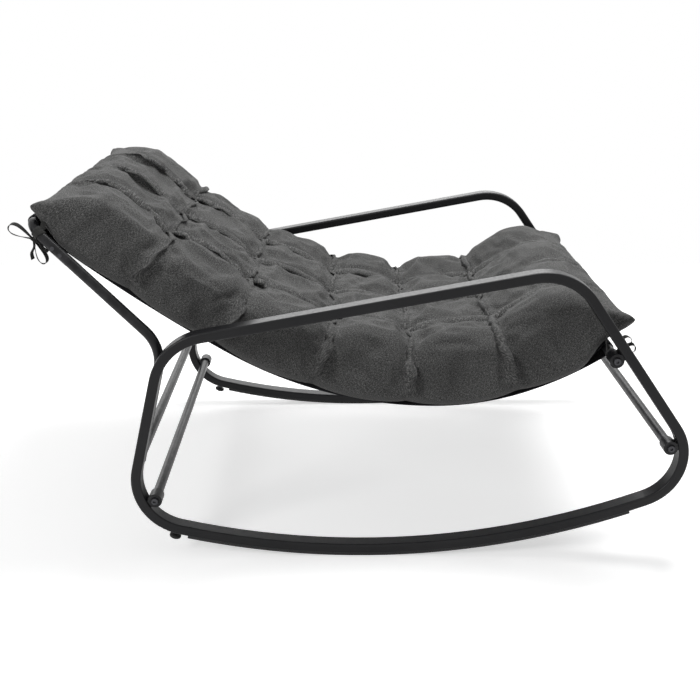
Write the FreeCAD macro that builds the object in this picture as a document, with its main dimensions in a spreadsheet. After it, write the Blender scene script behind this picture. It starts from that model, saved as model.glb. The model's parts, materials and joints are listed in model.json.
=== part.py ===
import FreeCAD, Part
import math
import os
import re
import Sketcher

from FreeCAD import Placement, Rotation, Vector

# Rocking chaise lounge. X runs from the head to the foot end, Y across, Z up.
# The origin is on the floor under the middle of the chair, and right is the
# sitter's right, at negative Y. Lengths are in millimetres, angles in degrees.

SIZES = [
    # Side loops: one bent flat-sided tube each
    ("side_span", 750, "across the outer faces of the two loops"),
    ("rail_width", 30, "tube of a loop, across the chair"),
    ("rail_depth", 17, "tube of a loop, in the plane of the loop"),
    ("rail_wall", 1.2, "wall of that tube"),
    ("rail_rounding", 3.5, "edge radius of that tube"),
    ("contact_x", 14, "where the rocker touches the floor"),
    ("rocker_radius", 1345, "curve of the rocker, outer edge of the tube"),
    ("upper_bend", 105, "outer radius of the two upper bends"),
    ("rear_bend", 100, "outer radius of the rear lower bend"),
    ("front_bend", 95, "outer radius of the front lower bend"),
    ("arm_height", 449.6, "top of the arm above the contact point"),
    ("arm_slope", 10.35, "rise of the arm towards the front"),
    ("rear_reach", 428.3, "contact point to the foot of the upright's line"),
    ("rear_lean", 13.4, "forward lean of the upright"),
    ("front_reach", 691, "contact point to the foot of the front line"),
    ("front_lean", 35, "backward lean of the front tube"),
    # Wear strips and their screws
    ("strip_thickness", 4, "strip under the rocker"),
    ("strip_width", 26, "strip across the chair"),
    ("strip_rear_gap", 15, "rear bend to the end of the strip"),
    ("strip_front_gap", 33, "front bend to the end of the strip"),
    ("strip_screw_radius", 2, "shank of a strip screw"),
    ("strip_screw_head", 3.8, "head radius of a strip screw"),
    ("strip_screw_sink", 2.2, "depth of its countersunk head"),
    ("strip_screw_length", 11, "whole strip screw"),
    # Round cross tubes and the cups that hold them
    ("tube_radius", 8.5, "outer radius of every round tube"),
    ("tube_wall", 1.2, "wall of every round tube"),
    ("cup_radius", 12, "outer radius of a tube cup"),
    ("cup_length", 26, "cup along the tube"),
    ("cup_floor", 6, "closed outer end of the cup"),
    ("cup_inset", 4, "outer face of the loop to the cup"),
    ("cup_fit", 0.15, "tube in its cup, on the radius"),
    ("lug_width", 12, "welded lug between cup and loop"),
    ("weld_gap", 0.2, "cup to the bend it is welded in"),
    ("end_gap", 1, "tube end to the floor of the cup"),
    ("rear_cup_angle", 29.4, "rear cup below level, round the rear lower bend"),
    ("front_cup_angle", 13.2, "front cup above level, round the front lower bend"),
    ("seat_bar_height", 351, "seat bar above the floor"),
    # Frame bolts and threaded inserts
    ("bolt_radius", 4, "shank of a frame bolt"),
    ("bolt_head_radius", 7, "head of a frame bolt"),
    ("bolt_head_height", 4, "head of a frame bolt"),
    ("bolt_grip", 16, "bolt inside its insert"),
    ("key_radius", 2.9, "corner radius of the hexagon socket"),
    ("key_depth", 2.5, "depth of the hexagon socket"),
    ("insert_length", 20, "threaded insert in a tube end"),
    ("thread_fit", 0.05, "clearance on the radius at threads and inserts"),
    # Back frame
    ("leg_gap", 2, "back leg to the loop, filled by the spacers"),
    ("leg_foot_height", 166, "lower end of a back leg"),
    ("knee_height", 366, "where the two lines of a back leg meet"),
    ("knee_radius", 70, "bend of a back leg"),
    ("back_slope", 45.5, "upper back leg above level"),
    ("back_length", 285, "knee corner to the head bar"),
    ("hoop_arm", 58, "head bar to the joint with the leg"),
    ("hoop_radius", 30, "bend at each end of the head bar"),
    ("spigot_wall", 1.5, "inner sleeve of the joint"),
    ("spigot_in_hoop", 14, "sleeve inside the hoop"),
    ("spigot_in_leg", 40, "sleeve inside the leg"),
    ("rivet_radius", 2, "rivets of the joint"),
    ("rivet_head", 0.8, "height of a rivet head"),
    ("rivet_head_radius", 3.4, "radius of a rivet head"),
    ("rivet_offset", 8, "rivet to the joint line"),
    ("back_cross_height", 179, "cross tube between the back legs"),
    ("plug_length", 12, "plug in the lower end of a back leg"),
    ("plug_cap", 3, "visible part of that plug"),
    ("leg_bolt_low", 210, "height of the lower leg bolt"),
    ("leg_bolt_high", 320, "height of the upper leg bolt"),
    ("leg_bolt_radius", 3, "shank of a leg bolt"),
    ("leg_bolt_head_radius", 5.5, "head of a leg bolt"),
    ("leg_bolt_head_height", 3, "head of a leg bolt"),
    ("spacer_radius", 6.5, "spacer between leg and loop"),
    ("nut_radius", 4.5, "sleeve of a rivet nut"),
    ("nut_length", 9, "sleeve of a rivet nut"),
    ("nut_flange", 0.8, "flange of a rivet nut"),
    ("nut_flange_radius", 6.5, "flange of a rivet nut"),
    # Anti-tip feet under the rear lower bends
    ("foot_angle", 17, "foot behind straight down, round the rear lower bend"),
    ("foot_drop", 7, "tube to the top of the pad"),
    ("foot_stud_radius", 3, "stud of a foot"),
    ("foot_stud_inside", 9.5, "stud inside the tube"),
    ("foot_pad_radius", 10, "pad of a foot"),
    ("foot_pad_height", 6, "pad of a foot"),
    ("foot_pad_rounding", 2.5, "edge radius of the pad"),
    ("foot_pad_bore", 4, "stud inside the pad"),
    # Sling
    ("sling_side_gap", 0.5, "edge of the sling to the bends of the head bar"),
    ("sling_thickness", 1.6, "sling cloth"),
    ("sling_head_slope", 39, "sling where it leaves the head bar"),
    ("sling_front_slope", 34, "sling where it meets the seat bar"),
    ("sling_low_x", 137, "lowest point of the sling"),
    ("sling_low_height", 248.2, "lowest point of the sling above the floor"),
    ("sling_casing", 60, "bar to the seam that closes the casing round it"),
    ("cloth_gap", 0.4, "cloth to the tube it goes round"),
    # Cushion
    ("head_overhang", 8, "end seam of the cushion past the head bar"),
    ("row_one", 192, "cushion row at the head, seam to seam"),
    ("row_two", 163, "second row"),
    ("row_three", 185, "third row"),
    ("row_four", 164, "fourth row"),
    ("row_five", 192, "fifth row"),
    ("row_six", 227, "row at the foot end"),
    ("cushion_side_gap", 12, "widest point of the cushion to the loop"),
    ("side_undercut", 33, "widest point to where the side leaves the sling"),
    ("side_draw", 21, "widest point to the drawn-in side at a row seam"),
    ("side_seam", 11, "widest point to the seam along a side"),
    ("cushion_gap", 0.7, "cushion to the sling"),
    ("tuft_height", 58, "height at the tufts"),
    ("front_tuft_height", 78, "height at the tufts nearest the foot end"),
    ("channel_height", 84, "height of a channel between two tufts"),
    ("back_crest", 104, "height of the puffs at the head"),
    ("seat_crest", 128, "height of the puffs at the foot end"),
    ("side_height", 72, "top edge of the cushion's side"),
    ("seam_swell", 5, "swell of the filling beside a seam"),
    ("end_height", 30, "top of the end seam above its underside"),
    ("tuck_crest", 20, "top of a channel across the cushion above its tufts"),
    ("bar_lift", 24, "underside above the sling, over each bar"),
    ("lift_reach", 72, "bar to where the underside rests on the sling"),
    # Ties
    ("tie_width", 6, "ribbon of a tie"),
    ("tie_thickness", 1.5, "ribbon of a tie"),
    ("head_loop_length", 42, "loop of a bow at the head"),
    ("front_loop_length", 28, "loop of a bow at the foot end"),
    ("tie_loop_height", 15, "loop of a bow"),
    ("tie_tail_length", 28, "loose end of a bow"),
    ("tie_knot_radius", 5, "knot of a bow"),
    ("tie_bend_angle", 68, "tie round the bend of the head bar, from the bar"),
    ("tie_cup_gap", 3, "tie to the cup of the seat bar"),
]

SIDES = {"right": -1, "left": 1}
ALONG_Y = Vector(0, 1, 0)
ALONG_Z = Vector(0, 0, 1)
STRIP_SCREWS = 4
COLUMNS = 4
# Shares of a row at which the cushion has a section, and how full its puffs are there
SECTION_SHARES = (0.12, 0.3, 0.5, 0.7, 0.88, 1)
PUFF_ROUNDNESS = 0.6
SHOULDER_SHARE = 0.75
BOLT_HEAD_TAPER = 0.8

doc = FreeCAD.newDocument("RockingChaise")
sheet = doc.addObject("Spreadsheet::Sheet", "Sizes")
for row, (alias, number, meaning) in enumerate(SIZES, start=1):
    sheet.set(f"A{row}", alias)
    sheet.set(f"B{row}", str(number))
    sheet.setAlias(f"B{row}", alias)
    sheet.set(f"C{row}", meaning)
doc.recompute()
size = {alias: float(sheet.get(alias)) for alias, number, meaning in SIZES}


def bind(item, **formulas):
    """Ties properties to formulas of the sheet's values; _at_ stands for a dot."""
    for path, formula in formulas.items():
        tied = re.sub(r"[a-z]+(_[a-z]+)+", lambda word: "Sizes." + word[0], formula)
        item.setExpression(path.replace("_at_", "."), tied)


def turned(direction):
    """The rotation that takes Z to a direction."""
    return Rotation(ALONG_Z, direction)


def flat(x, z):
    """A point or direction in the plane of a side loop."""
    return Vector(x, 0, z)


def heading(degrees):
    """The direction at an angle above +X, in the plane of a side loop."""
    return flat(math.cos(math.radians(degrees)), math.sin(math.radians(degrees)))


def across(point, y):
    return Vector(point.x, y, point.z)


# Lines and bends of a side loop, at the outer edge of its tube

contact = flat(size["contact_x"], 0)
rocker_centre = contact + flat(0, size["strip_thickness"] + size["rocker_radius"])
rear_normal = heading(180 - size["rear_lean"])
arm_normal = heading(90 + size["arm_slope"])
front_normal = heading(size["front_lean"])
rear_foot = contact - flat(size["rear_reach"], 0)
arm_point = contact + flat(0, size["arm_height"])
front_foot = contact + flat(size["front_reach"], 0)


def meeting(point_a, normal_a, point_b, normal_b, inset):
    """Where two lines meet once both have moved in from the outer edge."""
    reach_a = point_a.dot(normal_a) - inset
    reach_b = point_b.dot(normal_b) - inset
    scale = normal_a.x * normal_b.z - normal_a.z * normal_b.x
    x = (reach_a * normal_b.z - reach_b * normal_a.z) / scale
    z = (normal_a.x * reach_b - normal_b.x * reach_a) / scale
    return flat(x, z)


def rocker_meeting(point, normal, inset):
    """The centre of the bend between a line and the rocker."""
    nearest = point - normal * inset
    along = flat(-normal.z, normal.x)
    if along.z > 0:
        along = along * -1
    offset = nearest - rocker_centre
    middle = -offset.dot(along)
    half = math.sqrt(middle**2 - offset.dot(offset) + (size["rocker_radius"] - inset) ** 2)
    lower = nearest + along * (middle + half)
    upper = nearest + along * (middle - half)
    return lower if lower.z < upper.z else upper


rear_low = rocker_meeting(rear_foot, rear_normal, size["rear_bend"])
rear_high = meeting(rear_foot, rear_normal, arm_point, arm_normal, size["upper_bend"])
front_high = meeting(arm_point, arm_normal, front_foot, front_normal, size["upper_bend"])
front_low = rocker_meeting(front_foot, front_normal, size["front_bend"])


def rocker_angle(corner):
    """The direction from the rocker's centre to a bend, from +X."""
    offset = corner - rocker_centre
    return math.degrees(math.atan2(offset.z, offset.x))


def loop_sketch(name, y_formula):
    """The outer edge of a side loop: five arcs and three lines, all tangent."""
    sketch = doc.addObject("Sketcher::SketchObject", name)
    sketch.Placement = Placement(Vector(), Rotation(Vector(1, 0, 0), 90))
    bind(sketch, Placement_at_Base_at_x="contact_x", Placement_at_Base_at_y=y_formula)
    rear_turn = rocker_angle(rear_low)
    front_turn = rocker_angle(front_low)

    def arc(centre, radius, start, end):
        local = Vector(centre.x - contact.x, centre.z, 0)
        circle = Part.Circle(local, ALONG_Z, radius)
        return Part.ArcOfCircle(circle, math.radians(start), math.radians(end))

    def line(start_bend, end_bend, normal):
        ends = [corner + normal * radius - contact for corner, radius in (start_bend, end_bend)]
        return Part.LineSegment(*[Vector(end.x, end.z, 0) for end in ends])

    rear_way = 180 - size["rear_lean"]
    arm_way = 90 + size["arm_slope"]
    front_way = size["front_lean"]
    low_rear = (rear_low, size["rear_bend"])
    high_rear = (rear_high, size["upper_bend"])
    high_front = (front_high, size["upper_bend"])
    low_front = (front_low, size["front_bend"])
    pieces = [
        arc(rocker_centre, size["rocker_radius"], rear_turn, front_turn),
        arc(*low_front, front_turn, front_way),
        line(low_front, high_front, front_normal),
        arc(*high_front, front_way, arm_way),
        line(high_front, high_rear, arm_normal),
        arc(*high_rear, arm_way, rear_way),
        line(high_rear, low_rear, rear_normal),
        arc(*low_rear, rear_way, rear_turn + 360),
    ]
    sketch.addGeometry(pieces, False)
    start, end, centre, origin = 1, 2, 3, (-1, 1)
    rocker, front_bend, front_line, top_bend, arm_line, back_bend, rear_line, low_bend = range(8)
    for piece in range(8):
        following = (piece + 1) % 8
        sketch.addConstraint(Sketcher.Constraint("Tangent", piece, end, following, start))

    def sized(name, formula, *constraint):
        index = sketch.addConstraint(Sketcher.Constraint(*constraint))
        sketch.renameConstraint(index, name)
        bind(sketch, **{"Constraints_at_" + name: formula})

    sketch.addConstraint(Sketcher.Constraint("Vertical", *origin, rocker, centre))
    rise = size["strip_thickness"] + size["rocker_radius"]
    sized("rise", "strip_thickness + rocker_radius", "DistanceY", *origin, rocker, centre, rise)
    sized("rocker", "rocker_radius", "Radius", rocker, size["rocker_radius"])
    for name, index, radius in (
        ("lowfront", front_bend, "front_bend"), ("topfront", top_bend, "upper_bend"),
        ("topback", back_bend, "upper_bend"), ("lowback", low_bend, "rear_bend"),
    ):
        sized(name, radius, "Radius", index, size[radius])
    for name, index, normal, point, angle, reach in (
        ("front", front_line, front_normal, front_foot, "front_lean + 90", "front_reach * cos(front_lean)"),
        ("arm", arm_line, arm_normal, arm_point, "arm_slope + 180", "arm_height * cos(arm_slope)"),
        ("rear", rear_line, rear_normal, rear_foot, "270 - rear_lean", "rear_reach * cos(rear_lean)"),
    ):
        turn = math.atan2(normal.x, -normal.z)
        away = (point - contact).dot(normal)
        sized(name + "turn", f"({angle}) * 1 deg", "Angle", index, turn)
        sized(name + "reach", reach, "Distance", *origin, index, away)
    return sketch


def rod(name, radius, length, start, direction):
    """A cylinder from a point in a direction; its sizes are formulas."""
    item = doc.addObject("Part::Cylinder", name)
    item.Placement = Placement(start, turned(direction))
    bind(item, Radius=radius, Height=length)
    return item


def cone(name, radius, end_radius, length, start, direction):
    item = doc.addObject("Part::Cone", name)
    item.Placement = Placement(start, turned(direction))
    bind(item, Radius1=radius, Radius2=end_radius, Height=length)
    return item


def together(name, items):
    item = doc.addObject("Part::MultiFuse", name)
    item.Shapes = items
    return item


def group(name, items):
    item = doc.addObject("Part::Compound", name)
    item.Links = items
    return item


def cut(name, base, tools):
    item = doc.addObject("Part::Cut", name)
    item.Base = base
    item.Tool = tools[0] if len(tools) == 1 else group(name + "_tools", tools)
    return item


def node(item, label):
    """Marks an object as one named piece of the chair."""
    item.Label = label
    nodes.append(item)
    return item


nodes = []


# Side loops

def rail_ring(name, y_formula):
    """The solid ring of a loop before its hollow and holes, and the sketch of its edge."""
    sketch = loop_sketch(name + "_edge", y_formula)
    band = doc.addObject("Part::Offset2D", name + "_band")
    band.Source = sketch
    band.Fill = True
    bind(band, Value="-rail_depth")
    ring = doc.addObject("Part::Extrusion", name + "_ring")
    ring.Base = band
    ring.DirMode = "Custom"
    ring.Dir = ALONG_Y
    ring.Solid = True
    ring.Symmetric = True
    bind(ring, LengthFwd="rail_width")
    return ring, sketch


def rail_hollow(name, sketch):
    """The inside of a loop's tube."""
    wall = doc.addObject("Part::Offset2D", name + "_wall_line")
    wall.Source = sketch
    bind(wall, Value="-rail_wall")
    band = doc.addObject("Part::Offset2D", name + "_hollow_band")
    band.Source = wall
    band.Fill = True
    bind(band, Value="2 * rail_wall - rail_depth")
    hollow = doc.addObject("Part::Extrusion", name + "_hollow")
    hollow.Base = band
    hollow.DirMode = "Custom"
    hollow.Dir = ALONG_Y
    hollow.Solid = True
    hollow.Symmetric = True
    bind(hollow, LengthFwd="rail_width - 2 * rail_wall")
    return hollow


def rounded(name, ring):
    """The ring with its long edges rounded."""
    doc.recompute()
    item = doc.addObject("Part::Fillet", name + "_rounded")
    item.Base = ring
    radius = size["rail_rounding"]
    long_edges = [
        number for number, edge in enumerate(ring.Shape.Edges, start=1)
        if abs(edge.tangentAt(edge.FirstParameter).y) < 0.5
    ]
    item.Edges = [(number, radius, radius) for number in long_edges]
    return item


# Places along a side loop

rail_mid_y = size["side_span"] / 2 - size["rail_width"] / 2
rail_inner_y = size["side_span"] / 2 - size["rail_width"]
back_half_span = rail_inner_y - size["leg_gap"] - size["tube_radius"]
cup_outer_y = size["side_span"] / 2 - size["cup_inset"]
cup_inner_y = cup_outer_y - size["cup_length"]
cup_reach = size["rail_depth"] + size["cup_radius"] + size["weld_gap"]


def in_bend(corner, radius, degrees, inset):
    """A point in a bend, at an inset from the outer edge of its tube."""
    return corner + heading(degrees) * (size[radius] - inset)


def at_height(point, direction, height):
    """Where a line from a point reaches a height."""
    return point + direction * ((height - point.z) / direction.z)


rear_way = heading(90 - size["rear_lean"])
front_way = heading(90 + size["front_lean"])
seat_line = front_foot - front_normal * cup_reach
# Each cup's centre, and the direction from it to the tube it is welded to
CUPS = {
    "rear_tube_cup": (
        in_bend(rear_low, "rear_bend", 180 + size["rear_cup_angle"], cup_reach),
        heading(180 + size["rear_cup_angle"]),
    ),
    "front_tube_cup": (
        in_bend(front_low, "front_bend", size["front_cup_angle"], cup_reach),
        heading(size["front_cup_angle"]),
    ),
    "seat_bar_cup": (at_height(seat_line, front_way, size["seat_bar_height"]), front_normal),
}
seat_bar = CUPS["seat_bar_cup"][0]

# The back legs run beside the uprights, bend at the knee and climb to the head bar

leg_line = rear_foot - rear_normal * (size["rail_depth"] / 2)
leg_foot = at_height(leg_line, rear_way, size["leg_foot_height"])
knee = at_height(leg_line, rear_way, size["knee_height"])
back_way = heading(180 - size["back_slope"])
head_bar = knee + back_way * size["back_length"]
hoop_end = head_bar - back_way * size["hoop_arm"]
leg_bolt_points = [
    at_height(leg_line, rear_way, size[name]) for name in ("leg_bolt_low", "leg_bolt_high")
]
foot_way = heading(270 - size["foot_angle"])
foot_seat = in_bend(rear_low, "rear_bend", 270 - size["foot_angle"], 0)


def strip_angles():
    """Where a wear strip starts and ends, from the rocker's centre."""
    radius = size["rocker_radius"]
    start = rocker_angle(rear_low) + math.degrees(size["strip_rear_gap"] / radius)
    end = rocker_angle(front_low) - math.degrees(size["strip_front_gap"] / radius)
    return start, end


def strip_screw_ways():
    """The direction from the rocker's centre to each strip screw."""
    start, end = strip_angles()
    step = (end - start) / STRIP_SCREWS
    return [heading(start + step * (number + 0.5)) for number in range(STRIP_SCREWS)]


def strip_screw_drills(name, y, fit):
    """Shanks and heads of the strip screws, larger than them by the fit."""
    drills = []
    for number, way in enumerate(strip_screw_ways()):
        under = across(rocker_centre + way * (size["rocker_radius"] + size["strip_thickness"]), y)
        drills.append(rod(
            f"{name}_hole{number}", "strip_screw_radius" + fit, "strip_screw_length", under, way * -1,
        ))
        drills.append(cone(
            f"{name}_sink{number}", "strip_screw_head" + fit, "strip_screw_radius" + fit,
            "strip_screw_sink", under, way * -1,
        ))
    return drills


def side_loop(side):
    sign = SIDES[side]
    name = "side_loop_" + side
    sign_text = "-1" if sign < 0 else "1"
    edge, sketch = rail_ring(name, f"{sign_text} * (side_span - rail_width) / 2")
    middle_y = sign * rail_mid_y
    drills = strip_screw_drills(name + "_strip", middle_y, " + thread_fit")
    for number, point in enumerate(leg_bolt_points):
        inner_face = across(point, sign * rail_inner_y)
        drills.append(rod(
            f"{name}_nut_hole{number}", "nut_radius + thread_fit", "rail_wall * 2",
            inner_face - ALONG_Y * sign * size["rail_wall"] / 2, ALONG_Y * sign,
        ))
    drills.append(rod(
        name + "_foot_hole", "nut_radius + thread_fit", "rail_wall * 2",
        across(foot_seat + foot_way * size["rail_wall"] / 2, middle_y), foot_way * -1,
    ))
    hollowed = cut(name + "_tube", rounded(name, edge), [rail_hollow(name, sketch)])
    node(cut(name, hollowed, drills), name)
    return edge


def wear_strip(side):
    """A bent flat bar on the rocker's underside, with countersunk holes."""
    y = SIDES[side] * rail_mid_y
    name = "wear_strip_" + side
    start, end = strip_angles()
    bar = doc.addObject("Part::Cylinder", name + "_outer")
    hole = doc.addObject("Part::Cylinder", name + "_inner")
    for item, radius in ((bar, "rocker_radius + strip_thickness"), (hole, "rocker_radius")):
        base = across(rocker_centre, y + size["strip_width"] / 2)
        item.Placement = Placement(base, Rotation(Vector(1, 0, 0), 90) * Rotation(ALONG_Z, start))
        item.Angle = end - start
        bind(item, Radius=radius, Height="strip_width")
    band = cut(name + "_band", bar, [hole])
    node(cut(name, band, strip_screw_drills(name, y, " + thread_fit")), name)


def strip_screws(side):
    y = SIDES[side] * rail_mid_y
    name = "wear_strip_screws_" + side
    pieces = strip_screw_drills(name, y, "")
    screws = [
        together(f"{name}_{number}", pieces[2 * number:2 * number + 2]) for number in range(STRIP_SCREWS)
    ]
    node(group(name, screws), name)


# Cups and what plugs into them

def cup(place, side, edge):
    """A round cup with a lug that is shaped to the tube it is welded to."""
    sign = SIDES[side]
    centre, way = CUPS[place]
    name = f"{place}_{side}"
    inward = ALONG_Y * -sign
    outer = across(centre, sign * cup_outer_y)
    body = rod(name + "_body", "cup_radius", "cup_length", outer, inward)
    lug = doc.addObject("Part::Box", name + "_lug")
    bind(lug, Length="cup_radius + rail_depth / 2", Width="cup_length - cup_floor", Height="lug_width")
    lug_way = Rotation(way, ALONG_Y, Vector(), "XYZ")
    depth = size["cup_length"] - size["cup_floor"]
    near_y = min(sign * cup_outer_y, sign * (cup_outer_y - depth))
    side_way = lug_way.multVec(ALONG_Z)
    corner = across(centre - side_way * (size["lug_width"] / 2), near_y)
    lug.Placement = Placement(corner, lug_way)
    bore = rod(
        name + "_bore", "tube_radius + cup_fit", "cup_length",
        across(centre, sign * (cup_outer_y - size["cup_floor"])), inward,
    )
    bolt_hole = rod(name + "_bolt_hole", "bolt_radius + thread_fit", "cup_length", outer, inward)
    whole = together(name + "_whole", [body, lug])
    node(cut(name, whole, [edge, bore, bolt_hole]), name)


def frame_bolts(side):
    sign = SIDES[side]
    name = "frame_bolts_" + side
    bolts = [
        socket_bolt(
            f"{name}_{place}", across(centre, sign * cup_outer_y), ALONG_Y * -sign,
            ("bolt_radius", "cup_floor + end_gap + bolt_grip"), ("bolt_head_radius", "bolt_head_height"),
        )
        for place, (centre, way) in CUPS.items()
    ]
    node(group(name, bolts), name)


def socket_bolt(name, seat, way, shank_sizes, head_sizes):
    """A bolt with a low head and a hexagon socket; the head rests on the seat."""
    head_radius, head_height = head_sizes
    shank_radius, shank_length = shank_sizes
    head = cone(
        name + "_head", head_radius, f"{head_radius} * {BOLT_HEAD_TAPER}", head_height, seat, way * -1,
    )
    shank = rod(name + "_shank", shank_radius, shank_length, seat, way)
    key = doc.addObject("Part::Prism", name + "_key")
    key.Polygon = 6
    height = size[head_height]
    key.Placement = Placement(seat - way * (height - size["key_depth"]), turned(way * -1))
    bind(key, Circumradius="key_radius", Height="key_depth + thread_fit")
    return cut(name, together(name + "_blank", [head, shank]), [key])


def plane_of(body, role):
    return next(feature for feature in body.Origin.OriginFeatures if feature.Role == role)


def ring_sketch(body, role, name):
    """The section of a round tube, centred on the sketch's own origin."""
    sketch = body.newObject("Sketcher::SketchObject", name)
    sketch.AttachmentSupport = [(plane_of(body, role), "")]
    sketch.MapMode = "FlatFace"
    for label, radius, formula in (
        ("outer", size["tube_radius"], "tube_radius"),
        ("bore", size["tube_radius"] - size["tube_wall"], "tube_radius - tube_wall"),
    ):
        circle = sketch.addGeometry(Part.Circle(Vector(), ALONG_Z, radius))
        sketch.addConstraint(Sketcher.Constraint("Coincident", circle, 3, -1, 1))
        index = sketch.addConstraint(Sketcher.Constraint("Radius", circle, radius))
        sketch.renameConstraint(index, label)
        bind(sketch, **{"Constraints_at_" + label: formula})
    return sketch


def cross_tube(name, centre, length):
    """A straight round tube across the chair; its length is a formula."""
    body = doc.addObject("PartDesign::Body", name)
    sketch = ring_sketch(body, "XZ_Plane", name + "_section")
    pad = body.newObject("PartDesign::Pad", name + "_pad")
    pad.Profile = sketch
    pad.SideType = "Symmetric"
    bind(pad, Length=length)
    body.Placement = Placement(centre, Rotation())
    return body


CUP_TUBE = "side_span - 2 * (cup_inset + cup_floor + end_gap)"


def inserts(name, centre):
    """The two threaded inserts in the ends of a cross tube."""
    pieces = []
    for side, sign in SIDES.items():
        end = across(centre, sign * (cup_outer_y - size["cup_floor"] - size["end_gap"]))
        inward = ALONG_Y * -sign
        plug = rod(
            f"{name}_{side}_plug", "tube_radius - tube_wall - thread_fit", "insert_length", end, inward,
        )
        thread = rod(f"{name}_{side}_thread", "bolt_radius + thread_fit", "insert_length", end, inward)
        pieces.append(cut(f"{name}_{side}", plug, [thread]))
    node(group(name, pieces), name)


# Back frame

def tube_path(body, role, name, pieces, measures):
    """A sketch of tangent lines and arcs that starts at its first piece's first end."""
    sketch = body.newObject("Sketcher::SketchObject", name)
    sketch.AttachmentSupport = [(plane_of(body, role), "")]
    sketch.MapMode = "FlatFace"
    sketch.addGeometry(pieces, False)
    for piece in range(len(pieces) - 1):
        sketch.addConstraint(Sketcher.Constraint("Tangent", piece, 2, piece + 1, 1))
    for label, formula, *constraint in measures:
        index = sketch.addConstraint(Sketcher.Constraint(*constraint))
        if label:
            sketch.renameConstraint(index, label)
            bind(sketch, **{"Constraints_at_" + label: formula})
    return sketch


def swept_tube(body, name, section, path):
    pipe = body.newObject("PartDesign::AdditivePipe", name)
    pipe.Profile = section
    count = len(path.Geometry)
    pipe.Spine = (path, [f"Edge{number}" for number in range(1, count + 1)])
    return pipe


knee_turn = 90 - size["back_slope"] + size["rear_lean"]
KNEE_TANGENT = "knee_radius * tan((90 - back_slope + rear_lean) / 2)"


def local_arc(centre_x, centre_y, radius, start, end):
    circle = Part.Circle(Vector(centre_x, centre_y, 0), ALONG_Z, radius)
    return Part.ArcOfCircle(circle, math.radians(start), math.radians(end))


def back_leg(side):
    sign = SIDES[side]
    name = "back_leg_" + side
    body = doc.addObject("PartDesign::Body", name + "_tube")
    tangent = size["knee_radius"] * math.tan(math.radians(knee_turn / 2))
    lower = (knee - leg_foot).Length - tangent
    upper = size["back_length"] - size["hoop_arm"] - tangent
    radius = size["knee_radius"]
    turn = math.radians(knee_turn)
    knee_end = Vector(-radius + radius * math.cos(turn), lower + radius * math.sin(turn), 0)
    upper_way = Vector(-math.sin(turn), math.cos(turn), 0)
    pieces = [
        Part.LineSegment(Vector(), Vector(0, lower, 0)),
        local_arc(-radius, lower, radius, 0, knee_turn),
        Part.LineSegment(knee_end, knee_end + upper_way * upper),
    ]
    lower_formula = "(knee_height - leg_foot_height) / cos(rear_lean) - " + KNEE_TANGENT
    upper_formula = "back_length - hoop_arm - " + KNEE_TANGENT
    path = tube_path(body, "XZ_Plane", name + "_path", pieces, [
        (None, None, "Coincident", 0, 1, -1, 1),
        (None, None, "Vertical", 0),
        ("lower", lower_formula, "Distance", 0, lower),
        ("knee", "knee_radius", "Radius", 1, radius),
        ("upper", upper_formula, "Distance", 2, upper),
        ("turn", "(180 - back_slope + rear_lean) * 1 deg", "Angle", 2, turn + math.pi / 2),
    ])
    section = ring_sketch(body, "XY_Plane", name + "_section")
    swept_tube(body, name + "_pipe", section, path)
    y = sign * back_half_span
    body.Placement = Placement(across(leg_foot, y), Rotation(ALONG_Y, size["rear_lean"]))
    inward = ALONG_Y * -sign
    drills = [
        rod(
            f"{name}_bolt_hole{number}", "leg_bolt_radius + thread_fit", "4 * tube_radius",
            across(point, sign * rail_inner_y), inward,
        )
        for number, point in enumerate(leg_bolt_points)
    ]
    node(cut(name, body, drills + [rivet_drill(name, side, "leg")]), name)


def rivet_point(part):
    """A rivet on either side of the joint between hoop and leg."""
    offset = size["rivet_offset"] if part == "hoop" else -size["rivet_offset"]
    return hoop_end + back_way * offset


def rivet_drill(name, side, part):
    start = across(rivet_point(part), SIDES[side] * back_half_span - 2 * size["tube_radius"])
    return rod(
        f"{name}_{side}_{part}_rivet_hole", "rivet_radius + thread_fit", "4 * tube_radius", start, ALONG_Y,
    )


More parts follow.
